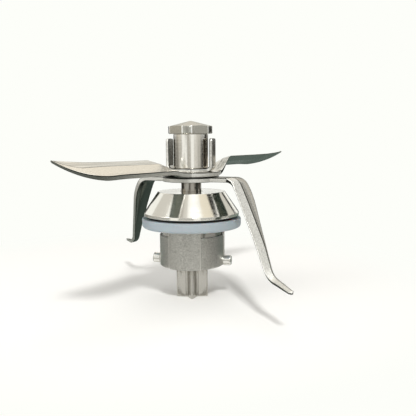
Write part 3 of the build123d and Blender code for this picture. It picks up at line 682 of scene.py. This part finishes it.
shaft_profile = rounded([
    (AXIS_R, SCREW_TIP), (SCREW_R, SCREW_TIP - 1.0), (SCREW_R, SHAFT_BOTTOM), (DOG_R, SHAFT_BOTTOM),
    (DOG_R, COUPLING_TOP), (JOURNAL_R, COUPLING_TOP), (JOURNAL_R, BEARING_TOP), (SHOULDER_R, BEARING_TOP),
    (SHOULDER_R, BLADE_SEAT), (BLADE_SEAT_R, BLADE_SEAT), (BLADE_SEAT_R, STIRRUP_TOP), (THREAD_R, STIRRUP_TOP),
    (THREAD_R, SHAFT_TOP - 0.5), (THREAD_R - 0.5, SHAFT_TOP), (AXIS_R, SHAFT_TOP),
], [0, 0.05, 0.05, 0.3, 0.1, 0.1, 0.1, 0.2, 0.1, 0.05, 0.05, 0.1, 0.1, 0.1, 0], 3)
shaft_mesh = grid_mesh("drive_shaft_surface", turned(shaft_profile, 96), cap_ends=True)
piece("drive_shaft_surface", shaft_mesh, "rotor", "drive_shaft", "turned_steel", polished_shaft)

# %% [markdown]
# ## The cap nut
# The nut is turned round first, then five flats are milled on it, so its corners stay arcs. The same order
# works on a grid: start from the turned surface and pull every point that lies outside a flat back onto it.
# Both ends of each flat, where the milled wall meets the turned one, carry a thin painted highlight.

# %% Cap nut
# The last value is half the width, in degrees, of the painted highlight at each end of a flat
NUT_SIDES, NUT_R, NUT_FLAT, NUT_HIGHLIGHT_HALF = 5, 9.8, 8.99, 1.7


def from_flat(angle, first_corner, sides):
    """Angle from the middle of the nearest flat of a regular prism."""
    step = 2 * np.pi / sides
    return np.mod(angle - math.radians(first_corner), step) - step / 2


# The profile runs from the bore out over the rounded foot, up the wall, along the slope and over the crown
foot_arc = rounded([(NUT_R, NUT_BOTTOM), (NUT_R, NUT_PRISM_TOP), (THREAD_R, NUT_BOTTOM)], [0.4, 0, 0], 5)[:5]
wall = np.column_stack([np.full(12, NUT_R), np.linspace(NUT_BOTTOM + 0.8, NUT_PRISM_TOP - 0.05, 12)])
slope = np.column_stack([np.linspace(9.75, 0.8, 60), np.linspace(NUT_PRISM_TOP, NUT_APEX - 0.08, 60)])
crown = np.array([(0.5, NUT_APEX - 0.03), (AXIS_R, NUT_APEX)])
nut_profile = np.concatenate([[(THREAD_R, NUT_BOTTOM), (6.0, NUT_BOTTOM)], foot_arc, wall, slope, crown])
nut_angle = np.linspace(0, 2 * np.pi, 480, endpoint=False)
off_flat = from_flat(nut_angle, NUT_CORNER_ANGLE, NUT_SIDES)
nut_radius = np.minimum(nut_profile[:, :1], NUT_FLAT / np.cos(off_flat))
nut_mesh = grid_mesh("cap_nut_surface", round_shaft(nut_radius, nut_profile[:, 1:], nut_angle), cap_ends=True)
flat_end = math.acos(NUT_FLAT / NUT_R)
# Wall faces at both ends of each flat take the white finish: a painted highlight
at_flat_end = np.abs(np.abs(off_flat) - flat_end) < math.radians(NUT_HIGHLIGHT_HALF)
on_wall = nut_profile[:-1, 0] > NUT_FLAT + 0.01
highlight_faces = np.append(np.outer(on_wall, at_flat_end).ravel(), [False, False])
nut_mesh.polygons.foreach_set("material_index", highlight_faces.astype(np.int32))
piece("cap_nut_surface", nut_mesh, "rotor", "cap_nut", "turned_steel", satin_nut, nut_painted_highlight)

# %% [markdown]
# ## Pressed strip
# The two blades and the stirrup are cut from sheet and bent. Each is a cross-section carried along a path from
# one end, through the hub, to the other end. The section has eight corners: two sides, and a crease beside each
# of them where a ground edge may begin. A half is worked out from the hub to its tip, and the other half is
# the same one after half a turn, or one of its own where the two differ.

# %% Strip helpers


def strip_half(centre, across, normal, plus, minus, thickness, plus_crease, minus_crease, drop, edge):
    """Corners of half a strip, shaped (stations, 8, 3), from the hub to its tip.

    At each station the top face runs through the centre, from plus on one side to minus on the other. Beside
    the minus side the grind starts at its crease, and the top falls by drop to an edge of the given height.
    """
    def at(side, depth):
        return centre + across * side[:, None] - normal * depth[:, None]

    level = np.zeros_like(plus)
    return np.stack([
        at(plus, level), at(plus - plus_crease, level), at(minus_crease - minus, level), at(-minus, drop),
        at(-minus, drop + edge), at(minus_crease - minus, thickness), at(plus - plus_crease, thickness),
        at(plus, thickness),
    ], axis=1)


def both_halves(half, other=None):
    """A half and the other one after half a turn, joined at the hub; its sides swap, so its corners do."""
    other = half if other is None else other
    far = (other * np.array([-1, -1, 1]))[:0:-1][:, [3, 2, 1, 0, 7, 6, 5, 4]]
    return np.concatenate([far, half])


# Finish of the 32 faces round a strip, counted from the upper corner of its plus side: three faces on each
# rounded corner and one between neighbouring corners. The first list names the runs, the second their lengths.
# Faces on the rounded corners take the dark rim finish, which is painted shade
MAIN, GROUND, SHEARED, RIM_SHADE, UNDERSIDE = range(5)
PLAIN_ROUND = np.repeat(
    [RIM_SHADE, MAIN, RIM_SHADE, SHEARED, RIM_SHADE, UNDERSIDE, RIM_SHADE, SHEARED], [3, 9, 3, 2, 2, 9, 2, 2])
GROUND_ROUND = np.repeat(
    [RIM_SHADE, MAIN, RIM_SHADE, GROUND, RIM_SHADE, UNDERSIDE, RIM_SHADE, SHEARED], [3, 5, 3, 4, 1, 12, 2, 2])
GROUND_ROUND_TURNED = np.repeat(
    [GROUND, RIM_SHADE, MAIN, RIM_SHADE, SHEARED, RIM_SHADE, UNDERSIDE, RIM_SHADE], [4, 3, 5, 3, 2, 2, 12, 1])
TIP_SHRINK, TIP_PUSH = 0.45, 0.12


def strip_mesh(name, corners, radii, edge_shade, ground, turned_ground=None):
    """Mesh of a strip with rounded corners, whose tips draw in by a share and are pushed out by a little.

    Each row of faces takes its finishes from one of three lists: plain where ground is nought, and otherwise
    ground along the minus side, which lies on the other side in the half that was turned. The shade, one value
    for each station of a half, is kept as an attribute of the faces and darkens the sheared edge: painted
    shade.
    """
    points = rounded(corners, radii, 4)
    ends = [(points[:1], points[:1] - points[1:2]), (points[-1:], points[-1:] - points[-2:-1])]
    first_tip, last_tip = (
        end.mean(axis=1, keepdims=True) * TIP_SHRINK + end * (1 - TIP_SHRINK)
        + TIP_PUSH * outward / np.linalg.norm(outward.mean(axis=1), axis=-1) for end, outward in ends
    )
    points = np.concatenate([first_tip, points, last_tip])
    mesh = grid_mesh(name, points, cap_ends=True)
    turned_ground = ground if turned_ground is None else turned_ground
    is_ground = np.concatenate([turned_ground[:0:-1], ground]) > 0.02
    is_ground = np.concatenate([is_ground[:1], is_ground])[:, None]
    in_turned = (np.arange(len(is_ground)) < len(is_ground) // 2)[:, None]
    finish = np.where(is_ground, np.where(in_turned, GROUND_ROUND_TURNED, GROUND_ROUND), PLAIN_ROUND)
    mesh.polygons.foreach_set("material_index", np.append(finish.ravel(), [SHEARED] * 2).astype(np.int32))
    row_edge_shade = np.concatenate([edge_shade[:0:-1], edge_shade])
    row_edge_shade = np.repeat(np.append(row_edge_shade[:1], row_edge_shade), points.shape[1])
    mesh.attributes.new("edge_shade", "FLOAT", "FACE").data.foreach_set("value", np.append(row_edge_shade, [1, 1]))
    return mesh


print("faces round a strip", len(PLAIN_ROUND), len(GROUND_ROUND), len(GROUND_ROUND_TURNED))

# %% [markdown]
# ## The upper blade
# Two broad wings run level out of the hub. Just outside it each is twisted about its trailing edge, so that the
# leading edge stands up, and near the tip the trailing edge curves in to a point like a carving knife's. The
# two wings differ in pitch, lift and fold, so each is a half of its own, made by one function. Its sheared edge
# is painted darker towards the tip: painted shade.

# %% Upper blade
WING_WIDTH, WING_TRAIL, WING_TIP, WING_TIP_PITCH = 15.0, 8.0, 71.6, 33.6
TWIST_LINE, TRAIL_BULGE, TIP_WIDTH, TIP_THINNING = 13.0, 0.2, 0.3, 0.55
WING_GRIND, WING_DROP, WING_EDGE = 6.6, 0.85, 0.3
# Reach at which the wing begins to rise, bulge, twist, taper and thin out, and at which its lean has gone
RISE_FROM, BULGE_FROM, TWIST_FROM, TAPER_FROM, THIN_FROM, LEAN_TO = 21.0, 26.0, 45.0, 52.0, 56.0, 62.0
# Reach over which painted shade darkens the sheared edge of the upper blade
EDGE_SHADE_FROM, EDGE_SHADE_TO = 26.0, 60.0
# Stations lie closer together towards the hub, where the fold and the rim of the disc are
reach = np.concatenate([np.linspace(0, 40, 170), np.linspace(40.4, 60, 40), np.linspace(60.4, 71.2, 40)])


def wing_half(pitch, lift, rise, fold_start, fold_end, slant):
    """Half of the upper blade, from the hub to the tip of a wing with a pitch in degrees and a lift.

    An S-shaped step over the fold brings in pitch and lift; a slanting fold leans every section of the root.
    The height then grows with the square of the reach. Past two thirds the pitch grows with the square of
    the reach to that of the tip, about a line near the leading edge. The trailing side bulges a little and
    then curves in with the power 2.2 of the reach. On the hub a section ends where its line leaves the disc.
    """
    twist = smooth_step(reach, fold_start, fold_end)
    root_tilt = np.radians(pitch) * twist
    tilt = root_tilt + np.radians(WING_TIP_PITCH - pitch) * step_up(reach, TWIST_FROM, WING_TIP) ** 2
    lean = slant * step_up(reach, 0, fold_start) * (1 - step_up(reach, fold_end, LEAN_TO))
    height = UPPER_HUB_TOP + lift * twist + rise * step_up(reach, RISE_FROM, WING_TIP) ** 2
    height = height - TWIST_LINE * (np.sin(tilt) - np.sin(root_tilt))
    thickness = BLADE_THICKNESS * (1 - TIP_THINNING * step_up(reach, THIN_FROM, WING_TIP))
    cut = (WING_WIDTH - TIP_WIDTH) * step_up(reach, TAPER_FROM, WING_TIP) ** 2.2
    cut = cut - TRAIL_BULGE * np.sin(np.pi * step_up(reach, BULGE_FROM, WING_TIP)) ** 2
    middle = -(lean * reach + WING_TRAIL) / (1 + lean ** 2)
    inside = middle ** 2 - (reach ** 2 + WING_TRAIL ** 2 - HUB_R ** 2) / (1 + lean ** 2)
    chord = np.sqrt(np.clip(inside, 0, None))
    plus = np.where(inside > 0, np.maximum(middle + chord, 0), 0) - cut
    minus = np.where(inside > 0, np.maximum(chord - middle, WING_WIDTH), WING_WIDTH)
    span = plus + minus
    level = np.zeros_like(reach)
    return twist, strip_half(
        np.stack([reach, level + WING_TRAIL, height], axis=-1),
        np.stack([lean, np.cos(tilt), -np.sin(tilt)], axis=-1),
        np.stack([level, np.sin(tilt), np.cos(tilt)], axis=-1),
        plus, minus, thickness,
        span * (0.1 + 0.164 * step_up(span, 16, 2 * HUB_R)), np.minimum(WING_GRIND, 0.55 * span),
        WING_DROP * twist * thickness / BLADE_THICKNESS, thickness - (thickness - WING_EDGE) * twist,
    )


back_ground, back_wing = wing_half(
    pitch=17.0, lift=2.9, rise=0.0, fold_start=21.0, fold_end=30.4, slant=0.6)
front_ground, front_wing = wing_half(
    pitch=19.6, lift=1.4, rise=0.8, fold_start=10.5, fold_end=21.4, slant=0.0)
upper_corners = about_shaft(both_halves(back_wing, front_wing), UPPER_BLADE_ANGLE)
upper_mesh = strip_mesh("upper_blade_surface", upper_corners, [0.4, 2.5, 2.5, 0.3, 0.3, 2.5, 2.5, 0.4],
                        step_up(reach, EDGE_SHADE_FROM, EDGE_SHADE_TO), back_ground, front_ground)
wing_finishes = (tumbled_blade, ground_wing, sheared_edge, rim_painted_shade, underside_painted_shade)
piece("upper_blade_surface", upper_mesh, "rotor", "upper_blade", "ground_blade_steel", *wing_finishes)

# %% [markdown]
# ## The lower blade
# The lower arms are the piece that takes the most skill: each bends down beside the cone, sweeps towards its
# leading side while it tapers, and turns out again into a small foot. The bends are arcs of a path in the
# upright plane through the arm, and the outline of the flat strip is a short table of its two sides. The two
# arms are alike, so one half is enough.

# %% Path and outline of an arm
BEND_START, BEND_R, LEG, FOOT_R, FOOT = 18.7, 6.0, 39.0, 8.0, 9.3
LEAN, FOOT_LEAN = np.radians(52.0), np.radians(8.0)
BEND_RUN = BEND_R * LEAN
LEG_END = BEND_RUN + LEG
FOOT_START = LEG_END + FOOT_R * (LEAN - FOOT_LEAN)
ARM_LENGTH = FOOT_START + FOOT
outline_run = [-12.0, 0.0, BEND_RUN, 10.0, 15.0, 31.0, LEG_END, FOOT_START, ARM_LENGTH - 1.2, ARM_LENGTH]
outline_lead = [-4.2, -0.9, -0.7, -2.2, -4.0, -10.2, -16.2, -19.3, -24.5, -24.2]
outline_trail = [6.6, 8.6, 9.4, 8.3, 5.9, -4.0, -12.3, -16.0, -22.1, -22.9]
# Stations lie closer together where the arm leaves the hub and where it bends
run = np.concatenate([
    np.linspace(-BEND_START, -9, 20), np.linspace(-8.6, -5.8, 15), np.linspace(-5, -0.4, 8),
    np.linspace(0, BEND_RUN, 14), np.linspace(6, LEG_END, 60), np.linspace(LEG_END + 0.3, FOOT_START, 14),
    np.linspace(FOOT_START + 0.4, ARM_LENGTH, 24),
])


def softened(positions, sides, at_runs, blur=1.6, sharp_tip=3.0):
    """Straight lines between the rows of the outline, averaged over a short length so that no corner stays.

    That length shrinks to nothing over the last few millimetres, so that the tip keeps its place.
    """
    nearby = at_runs[:, None] + np.linspace(-blur, blur, 9)
    near_tip = np.clip((ARM_LENGTH - at_runs) / sharp_tip, 0, 1)[:, None]
    nearby = at_runs[:, None] + (nearby - at_runs[:, None]) * near_tip
    return np.interp(nearby, positions, sides).mean(axis=1)


down_bend = np.clip(run, 0, BEND_RUN) / BEND_R
leg_run = np.clip(run - BEND_RUN, 0, LEG)
out_bend = LEAN - np.clip(run - LEG_END, 0, FOOT_START - LEG_END) / FOOT_R
foot_run = np.clip(run - FOOT_START, 0, None)
swing = np.where(run > LEG_END, out_bend, down_bend)
arm_out = np.minimum(run, 0) + BEND_R * np.sin(down_bend) + leg_run * np.cos(LEAN)
arm_out = arm_out + FOOT_R * (np.sin(LEAN) - np.sin(out_bend)) + foot_run * np.cos(FOOT_LEAN)
arm_down = BEND_R * (1 - np.cos(down_bend)) + leg_run * np.sin(LEAN)
arm_down = arm_down + FOOT_R * (np.cos(out_bend) - np.cos(LEAN)) + foot_run * np.sin(FOOT_LEAN)
print("an arm is", round(ARM_LENGTH, 1), "mm long from its bend and goes down by", round(arm_down[-1], 1))

# %% Lower blade
ARM_GRIND, ARM_DROP, ARM_EDGE, FOOT_THICKNESS, GRIND_FULL = 4.4, 1.3, 0.4, 1.1, 7.0

# Half the width of the round hub at a distance from the shaft is the chord of its circle
hub_half = np.sqrt(np.clip(HUB_R ** 2 - (BEND_START + np.minimum(run, 0)) ** 2, 0, None)) * (run < 0)
arm_plus, arm_minus = (
    np.where(hub_half > 0, np.maximum(side, hub_half), side)
    for side in (softened(outline_run, outline_trail, run), -softened(outline_run, outline_lead, run))
)
arm_span = arm_plus + arm_minus
level = np.zeros_like(run)
ground = step_up(run, 0.0, GRIND_FULL) * (1 - 0.6 * step_up(run, LEG_END, FOOT_START))
arm_thickness = BLADE_THICKNESS - (BLADE_THICKNESS - FOOT_THICKNESS) * step_up(run, LEG_END, ARM_LENGTH)
arm_half = strip_half(
    np.stack([BEND_START + arm_out, level, LOWER_HUB_TOP - arm_down], axis=-1),
    np.stack([level, level + 1, level], axis=-1), np.stack([np.sin(swing), level, np.cos(swing)], axis=-1),
    arm_plus, arm_minus, arm_thickness,
    arm_span * (0.1 + 0.16 * step_up(arm_span, 14, 2 * HUB_R)), np.minimum(ARM_GRIND, 0.8 * arm_span),
    ARM_DROP * ground * arm_thickness / BLADE_THICKNESS, arm_thickness - (arm_thickness - ARM_EDGE) * ground,
)
lower_corners = about_shaft(both_halves(arm_half), LOWER_BLADE_ANGLE)
lower_mesh = strip_mesh("lower_blade_surface", lower_corners, [0.3, 2.2, 2.2, 0.3, 0.3, 2.2, 2.2, 0.3],
                        level, ground)
arm_finishes = (tumbled_arm, ground_edge, sheared_edge, rim_painted_shade, arm_underside_painted_shade)
piece("lower_blade_surface", lower_mesh, "rotor", "lower_blade", "ground_blade_steel", *arm_finishes)

# %% [markdown]
# ## The stirrup bracket
# A round base with two upright tabs lies on the blades. It is the same kind of strip: flat through the hub, a
# tight bend, then up beside the sleeve, with rounded corners at the top. Its base has one small notch in the
# rim, so the two halves differ by that.

# %% Path of the strap
STIRRUP_R, TAB_HALF, TAB_INNER_R, TAB_BEND, TAB_TOP, TAB_CORNER = 9.2, 3.75, 9.0, 1.2, 70.5, 1.2
FLAT_END = TAB_INNER_R - TAB_BEND
BEND_LENGTH = TAB_BEND * np.pi / 2
UPRIGHT = FLAT_END + BEND_LENGTH
TAB_LENGTH = UPRIGHT + TAB_TOP - STIRRUP_TOP - TAB_BEND
# Stations lie closer together at the notch, in the bend and round the top corners
along = np.concatenate([
    np.linspace(0, 1.9, 6), np.linspace(1.94, 2.66, 13), np.linspace(2.75, FLAT_END, 24),
    np.linspace(FLAT_END + 0.1, UPRIGHT, 14), np.linspace(UPRIGHT + 0.4, TAB_LENGTH - 1.3, 16),
    TAB_LENGTH - TAB_CORNER * (1 - np.sin(np.linspace(0, np.pi / 2, 12))),
])
swing = np.clip(along - FLAT_END, 0, BEND_LENGTH) / TAB_BEND
rise = np.clip(along - FLAT_END - BEND_LENGTH, 0, None)
level = np.zeros_like(along)
top_line = np.stack([
    np.minimum(along, FLAT_END) + TAB_BEND * np.sin(swing), level,
    STIRRUP_TOP + TAB_BEND * (1 - np.cos(swing)) + rise,
], axis=-1)
print("the strap is", round(2 * TAB_LENGTH, 1), "mm long along its top")

# %% Stirrup bracket
BASE_END, TAB_THINNING = 8.6, 0.2
NOTCH_AT, NOTCH_HALF, NOTCH_DEPTH = 2.3, 0.34, 0.8

near_top = np.clip(along - (TAB_LENGTH - TAB_CORNER), 0, TAB_CORNER)
tab_half = TAB_HALF - TAB_CORNER + np.sqrt(TAB_CORNER ** 2 - near_top ** 2)
base_half = np.sqrt(np.clip(STIRRUP_R ** 2 - along ** 2, 0, None)) * (along < BASE_END)
strap_half = np.maximum(tab_half, base_half)
strap_thickness = STRAP_THICKNESS - TAB_THINNING * swing / (np.pi / 2)
notch = NOTCH_DEPTH * (np.abs(along - NOTCH_AT) < NOTCH_HALF)


def strap(notch_depth):
    """Half of the stirrup, with a notch of some depth in the rim of its base."""
    return strip_half(
        top_line, np.stack([level, level + 1, level], axis=-1),
        np.stack([-np.sin(swing), level, np.cos(swing)], axis=-1),
        strap_half, strap_half - notch_depth, strap_thickness, 0.25 * strap_half, 0.25 * strap_half, level,
        strap_thickness,
    )


stirrup_corners = both_halves(strap(notch), strap(0 * notch))
stirrup_mesh = strip_mesh("stirrup_bracket_surface", stirrup_corners, [0.3, 0.2, 0.2, 0.3, 0.3, 0.2, 0.2, 0.3],
                          level, level)
strap_finishes = (pressed_strap, pressed_strap, ground_edge, rim_painted_shade, pressed_strap)
piece("stirrup_bracket_surface", stirrup_mesh, "rotor", "stirrup_bracket", "ground_blade_steel",
      *strap_finishes)

# %% [markdown]
# ## The drive coupling
# Under the housing the shaft carries a dog with five rounded lobes. Cutting them out of a cylinder would leave
# long thin faces that shade badly, so the outline is worked out first: a ten-pointed star with every point
# rounded and its flanks a little full. The grid carries that outline up the dog, from a small chamfer at its
# foot to the collar, and back down through the bore.

# %% Drive coupling
LOBES, LOBE_R, VALLEY_R, FLANK_BULGE = 5, 8.05, 3.85, 0.12
LOBE_TIP_RADIUS, VALLEY_RADIUS, FLANK_RADIUS = 0.85, 1.6, 9.0
HEAD_R, COLLAR_R, SCREW_HOLE_R, LOBE_TOP = 3.15, 5.6, 1.6, 14.0

spoke_number = np.arange(2 * LOBES)
spoke = np.radians(COUPLING_LOBE_ANGLE + 180.0 / LOBES * spoke_number)
spoke_reach = np.where(spoke_number % 2 == 0, LOBE_R, VALLEY_R)
points_of_star = np.stack([spoke_reach * np.cos(spoke), spoke_reach * np.sin(spoke)], axis=-1)
flank = np.roll(points_of_star, -1, axis=0) - points_of_star
flank_out = np.stack([flank[:, 1], -flank[:, 0]], axis=-1) / np.linalg.norm(flank, axis=-1, keepdims=True)
flank_middle = points_of_star + 0.5 * flank + FLANK_BULGE * flank_out
star_corners = np.stack([points_of_star, flank_middle], axis=1).reshape(-1, 2)
star = rounded(star_corners, np.tile([LOBE_TIP_RADIUS, FLANK_RADIUS, VALLEY_RADIUS, FLANK_RADIUS], LOBES), 12)
star_turn = np.arctan2(star[:, 1], star[:, 0])
star_size = np.hypot(star[:, 0], star[:, 1])
coupling_levels = [
    (HEAD_R, 0.3), (HEAD_R, 0.0), (star_size - 0.32, 0.0), (star_size - 0.26, 0.03),
    (star_size - 0.03, 0.26), (star_size, 0.35), (star_size, 4.0), (star_size, 9.0),
    (star_size, LOBE_TOP - 0.3), (star_size - 0.06, LOBE_TOP - 0.08), (star_size - 0.2, LOBE_TOP),
    (COLLAR_R, LOBE_TOP), (COLLAR_R, COUPLING_TOP), (DOG_R, COUPLING_TOP), (DOG_R, SHAFT_BOTTOM),
    (SCREW_HOLE_R, SHAFT_BOTTOM), (SCREW_HOLE_R, 2.0),
]
coupling_points = round_shaft(*level_rows(coupling_levels, star_turn), star_turn)
coupling_mesh = grid_mesh("drive_coupling_surface", coupling_points, close_rows=True)
piece("drive_coupling_surface", coupling_mesh, "rotor", "drive_coupling", "turned_steel", satin_coupling)

# %% [markdown]
# ## The bearing housing
# The housing is cast with three lands that stand a little proud, and between them three recesses, each open at
# the top in a notch through which the neck of the cone shows. Cut recesses would need bevels at every edge.
# Instead radius and rim height are functions of the angle, and they change over less than half a millimetre,
# so the steps keep crisp but rounded edges. Along its edge each land takes a second, paler finish: a painted
# highlight.

# %% Bearing housing
LAND_R, RECESS_R, NOTCH_FLOOR = 14.64, 14.3, 28.3
# The last two values place the painted highlight along each land's edge, in degrees from a notch
LAND_EDGE, EDGE_HALF, LAND_HIGHLIGHT_AT, LAND_HIGHLIGHT_HALF = 30.5, 0.8, 31.5, 1.0
FOOT_RADIUS, FOOT_BORE, BEARING_FLOOR, O_RING_R, O_RING_SEAT = 0.8, 7.6, 15.6, 13.35, 26.4

notches = FIRST_NOTCH_ANGLE + 120.0 * np.arange(3)[:, None]
edges = np.radians(notches + np.array([-LAND_EDGE, LAND_EDGE])).ravel()
# Columns lie closer together where a land begins or ends
fine = (edges[:, None] + np.radians(np.linspace(-0.9, 0.9, 15))).ravel()
around = np.sort(np.mod(np.concatenate([np.linspace(0, 2 * np.pi, 360, endpoint=False), fine]), 2 * np.pi))
around = np.unique(np.round(around, 6))
from_notch = np.abs(np.mod(around - np.radians(FIRST_NOTCH_ANGLE) + np.pi / 3, 2 * np.pi / 3) - np.pi / 3)
on_land = smooth_step(from_notch, np.radians(LAND_EDGE - EDGE_HALF), np.radians(LAND_EDGE + EDGE_HALF))
outer = RECESS_R + (LAND_R - RECESS_R) * on_land
rim = NOTCH_FLOOR + (RING_BOTTOM - NOTCH_FLOOR) * on_land
wall_bottom = HOUSING_BOTTOM + FOOT_RADIUS
# From the bore in the foot outwards, up the wall, over the rim and down inside
housing_levels = [
    (FOOT_BORE, BEARING_FLOOR), (FOOT_BORE, HOUSING_BOTTOM + 0.2), (FOOT_BORE + 0.2, HOUSING_BOTTOM),
    *[(outer - FOOT_RADIUS + FOOT_RADIUS * np.sin(turn), wall_bottom - FOOT_RADIUS * np.cos(turn))
      for turn in np.linspace(0, np.pi / 2, 7)],
    *[(outer, wall_bottom + share * (rim - 0.15 - wall_bottom)) for share in (0.2, 0.4, 0.6, 0.8, 1.0)],
    (outer - 0.05, rim - 0.05), (outer - 0.15, rim), (NECK_R, rim), (NECK_R, SPIGOT_TOP),
    (O_RING_R, SPIGOT_TOP), (O_RING_R, O_RING_SEAT), (SPIGOT_R, O_RING_SEAT), (SPIGOT_R, SPIGOT_BOTTOM),
    (BEARING_R, SPIGOT_BOTTOM), (BEARING_R, BEARING_FLOOR),
]
housing_points = round_shaft(*level_rows(housing_levels, around), around)
housing_mesh = grid_mesh("bearing_housing_surface", housing_points, close_rows=True)
# Faces along each land's edge take the paler finish: a painted highlight
face_from_notch = np.degrees(from_notch + np.roll(from_notch, -1)) / 2
on_edge = np.abs(face_from_notch - LAND_HIGHLIGHT_AT) < LAND_HIGHLIGHT_HALF
housing_mesh.polygons.foreach_set("material_index", np.tile(on_edge, len(housing_levels)).astype(np.int32))
housing_finishes = (cast_housing, land_painted_highlight)
piece("bearing_housing_surface", housing_mesh, "housing", "bearing_housing", "cast_steel", *housing_finishes)

# %% [markdown]
# ## The bayonet pins
# Two ground pins stand out of the housing and lock it in the jar's ring. They are small turned pieces with
# a chamfered end, so the turned surface is made upright and then laid along +X.

# %% Bayonet pins
PIN_STEM_R, PIN_R, PIN_CHAMFER, PIN_HEIGHT = 1.9, 2.25, 0.35, 16.75
PIN_START, PIN_SHOULDER, PIN_END = 11.9, 14.7, 17.94
pin_profile = rounded([
    (AXIS_R, PIN_START), (PIN_STEM_R, PIN_START), (PIN_STEM_R, PIN_SHOULDER), (PIN_R, PIN_SHOULDER),
    (PIN_R, PIN_END - PIN_CHAMFER), (PIN_R - PIN_CHAMFER, PIN_END), (AXIS_R, PIN_END),
], [0, 0.2, 0.05, 0.1, 0.15, 0.15, 0], 4)
upright_pin = turned(pin_profile, 64)
right_pin = np.stack([upright_pin[..., 2], upright_pin[..., 0], upright_pin[..., 1] + PIN_HEIGHT], axis=-1)
for node, degrees in (("bayonet_pin_right", 0), ("bayonet_pin_left", 180)):
    pin_mesh = grid_mesh(node + "_surface", about_shaft(right_pin, degrees), cap_ends=True)
    piece(node + "_surface", pin_mesh, "housing", node, "turned_steel", bright_pin)

# %% [markdown]
# ## Inside the housing
# The bearings, seals and spacers could be made again too, but they are seldom seen. They keep their CAD shapes,
# which are right, and get the finish of the real material.

# %% Inner finishes
inner_finishes = {
    bearing_steel: ["upper_inner_race", "lower_inner_race", "upper_outer_race", "lower_outer_race",
                    "upper_balls", "lower_balls"],
    turned_inside: ["inner_spacer", "outer_spacer", "wave_washer", "coupling_screw", "blade_spacer"],
    black_rubber: ["lip_seal", "neck_o_ring"],
    cage_polyamide: ["upper_cage", "lower_cage"],
}
for finish, names in inner_finishes.items():
    for name in names:
        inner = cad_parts[name]
        inner.data.materials.clear()
        inner.data.materials.append(finish)
print("inner nodes", sum(len(names) for names in inner_finishes.values()))

# %% [markdown]
# ## The view
# The Standard view shows a colour as it is written.

# %% The view
bpy.context.scene.view_settings.view_transform = "Standard"
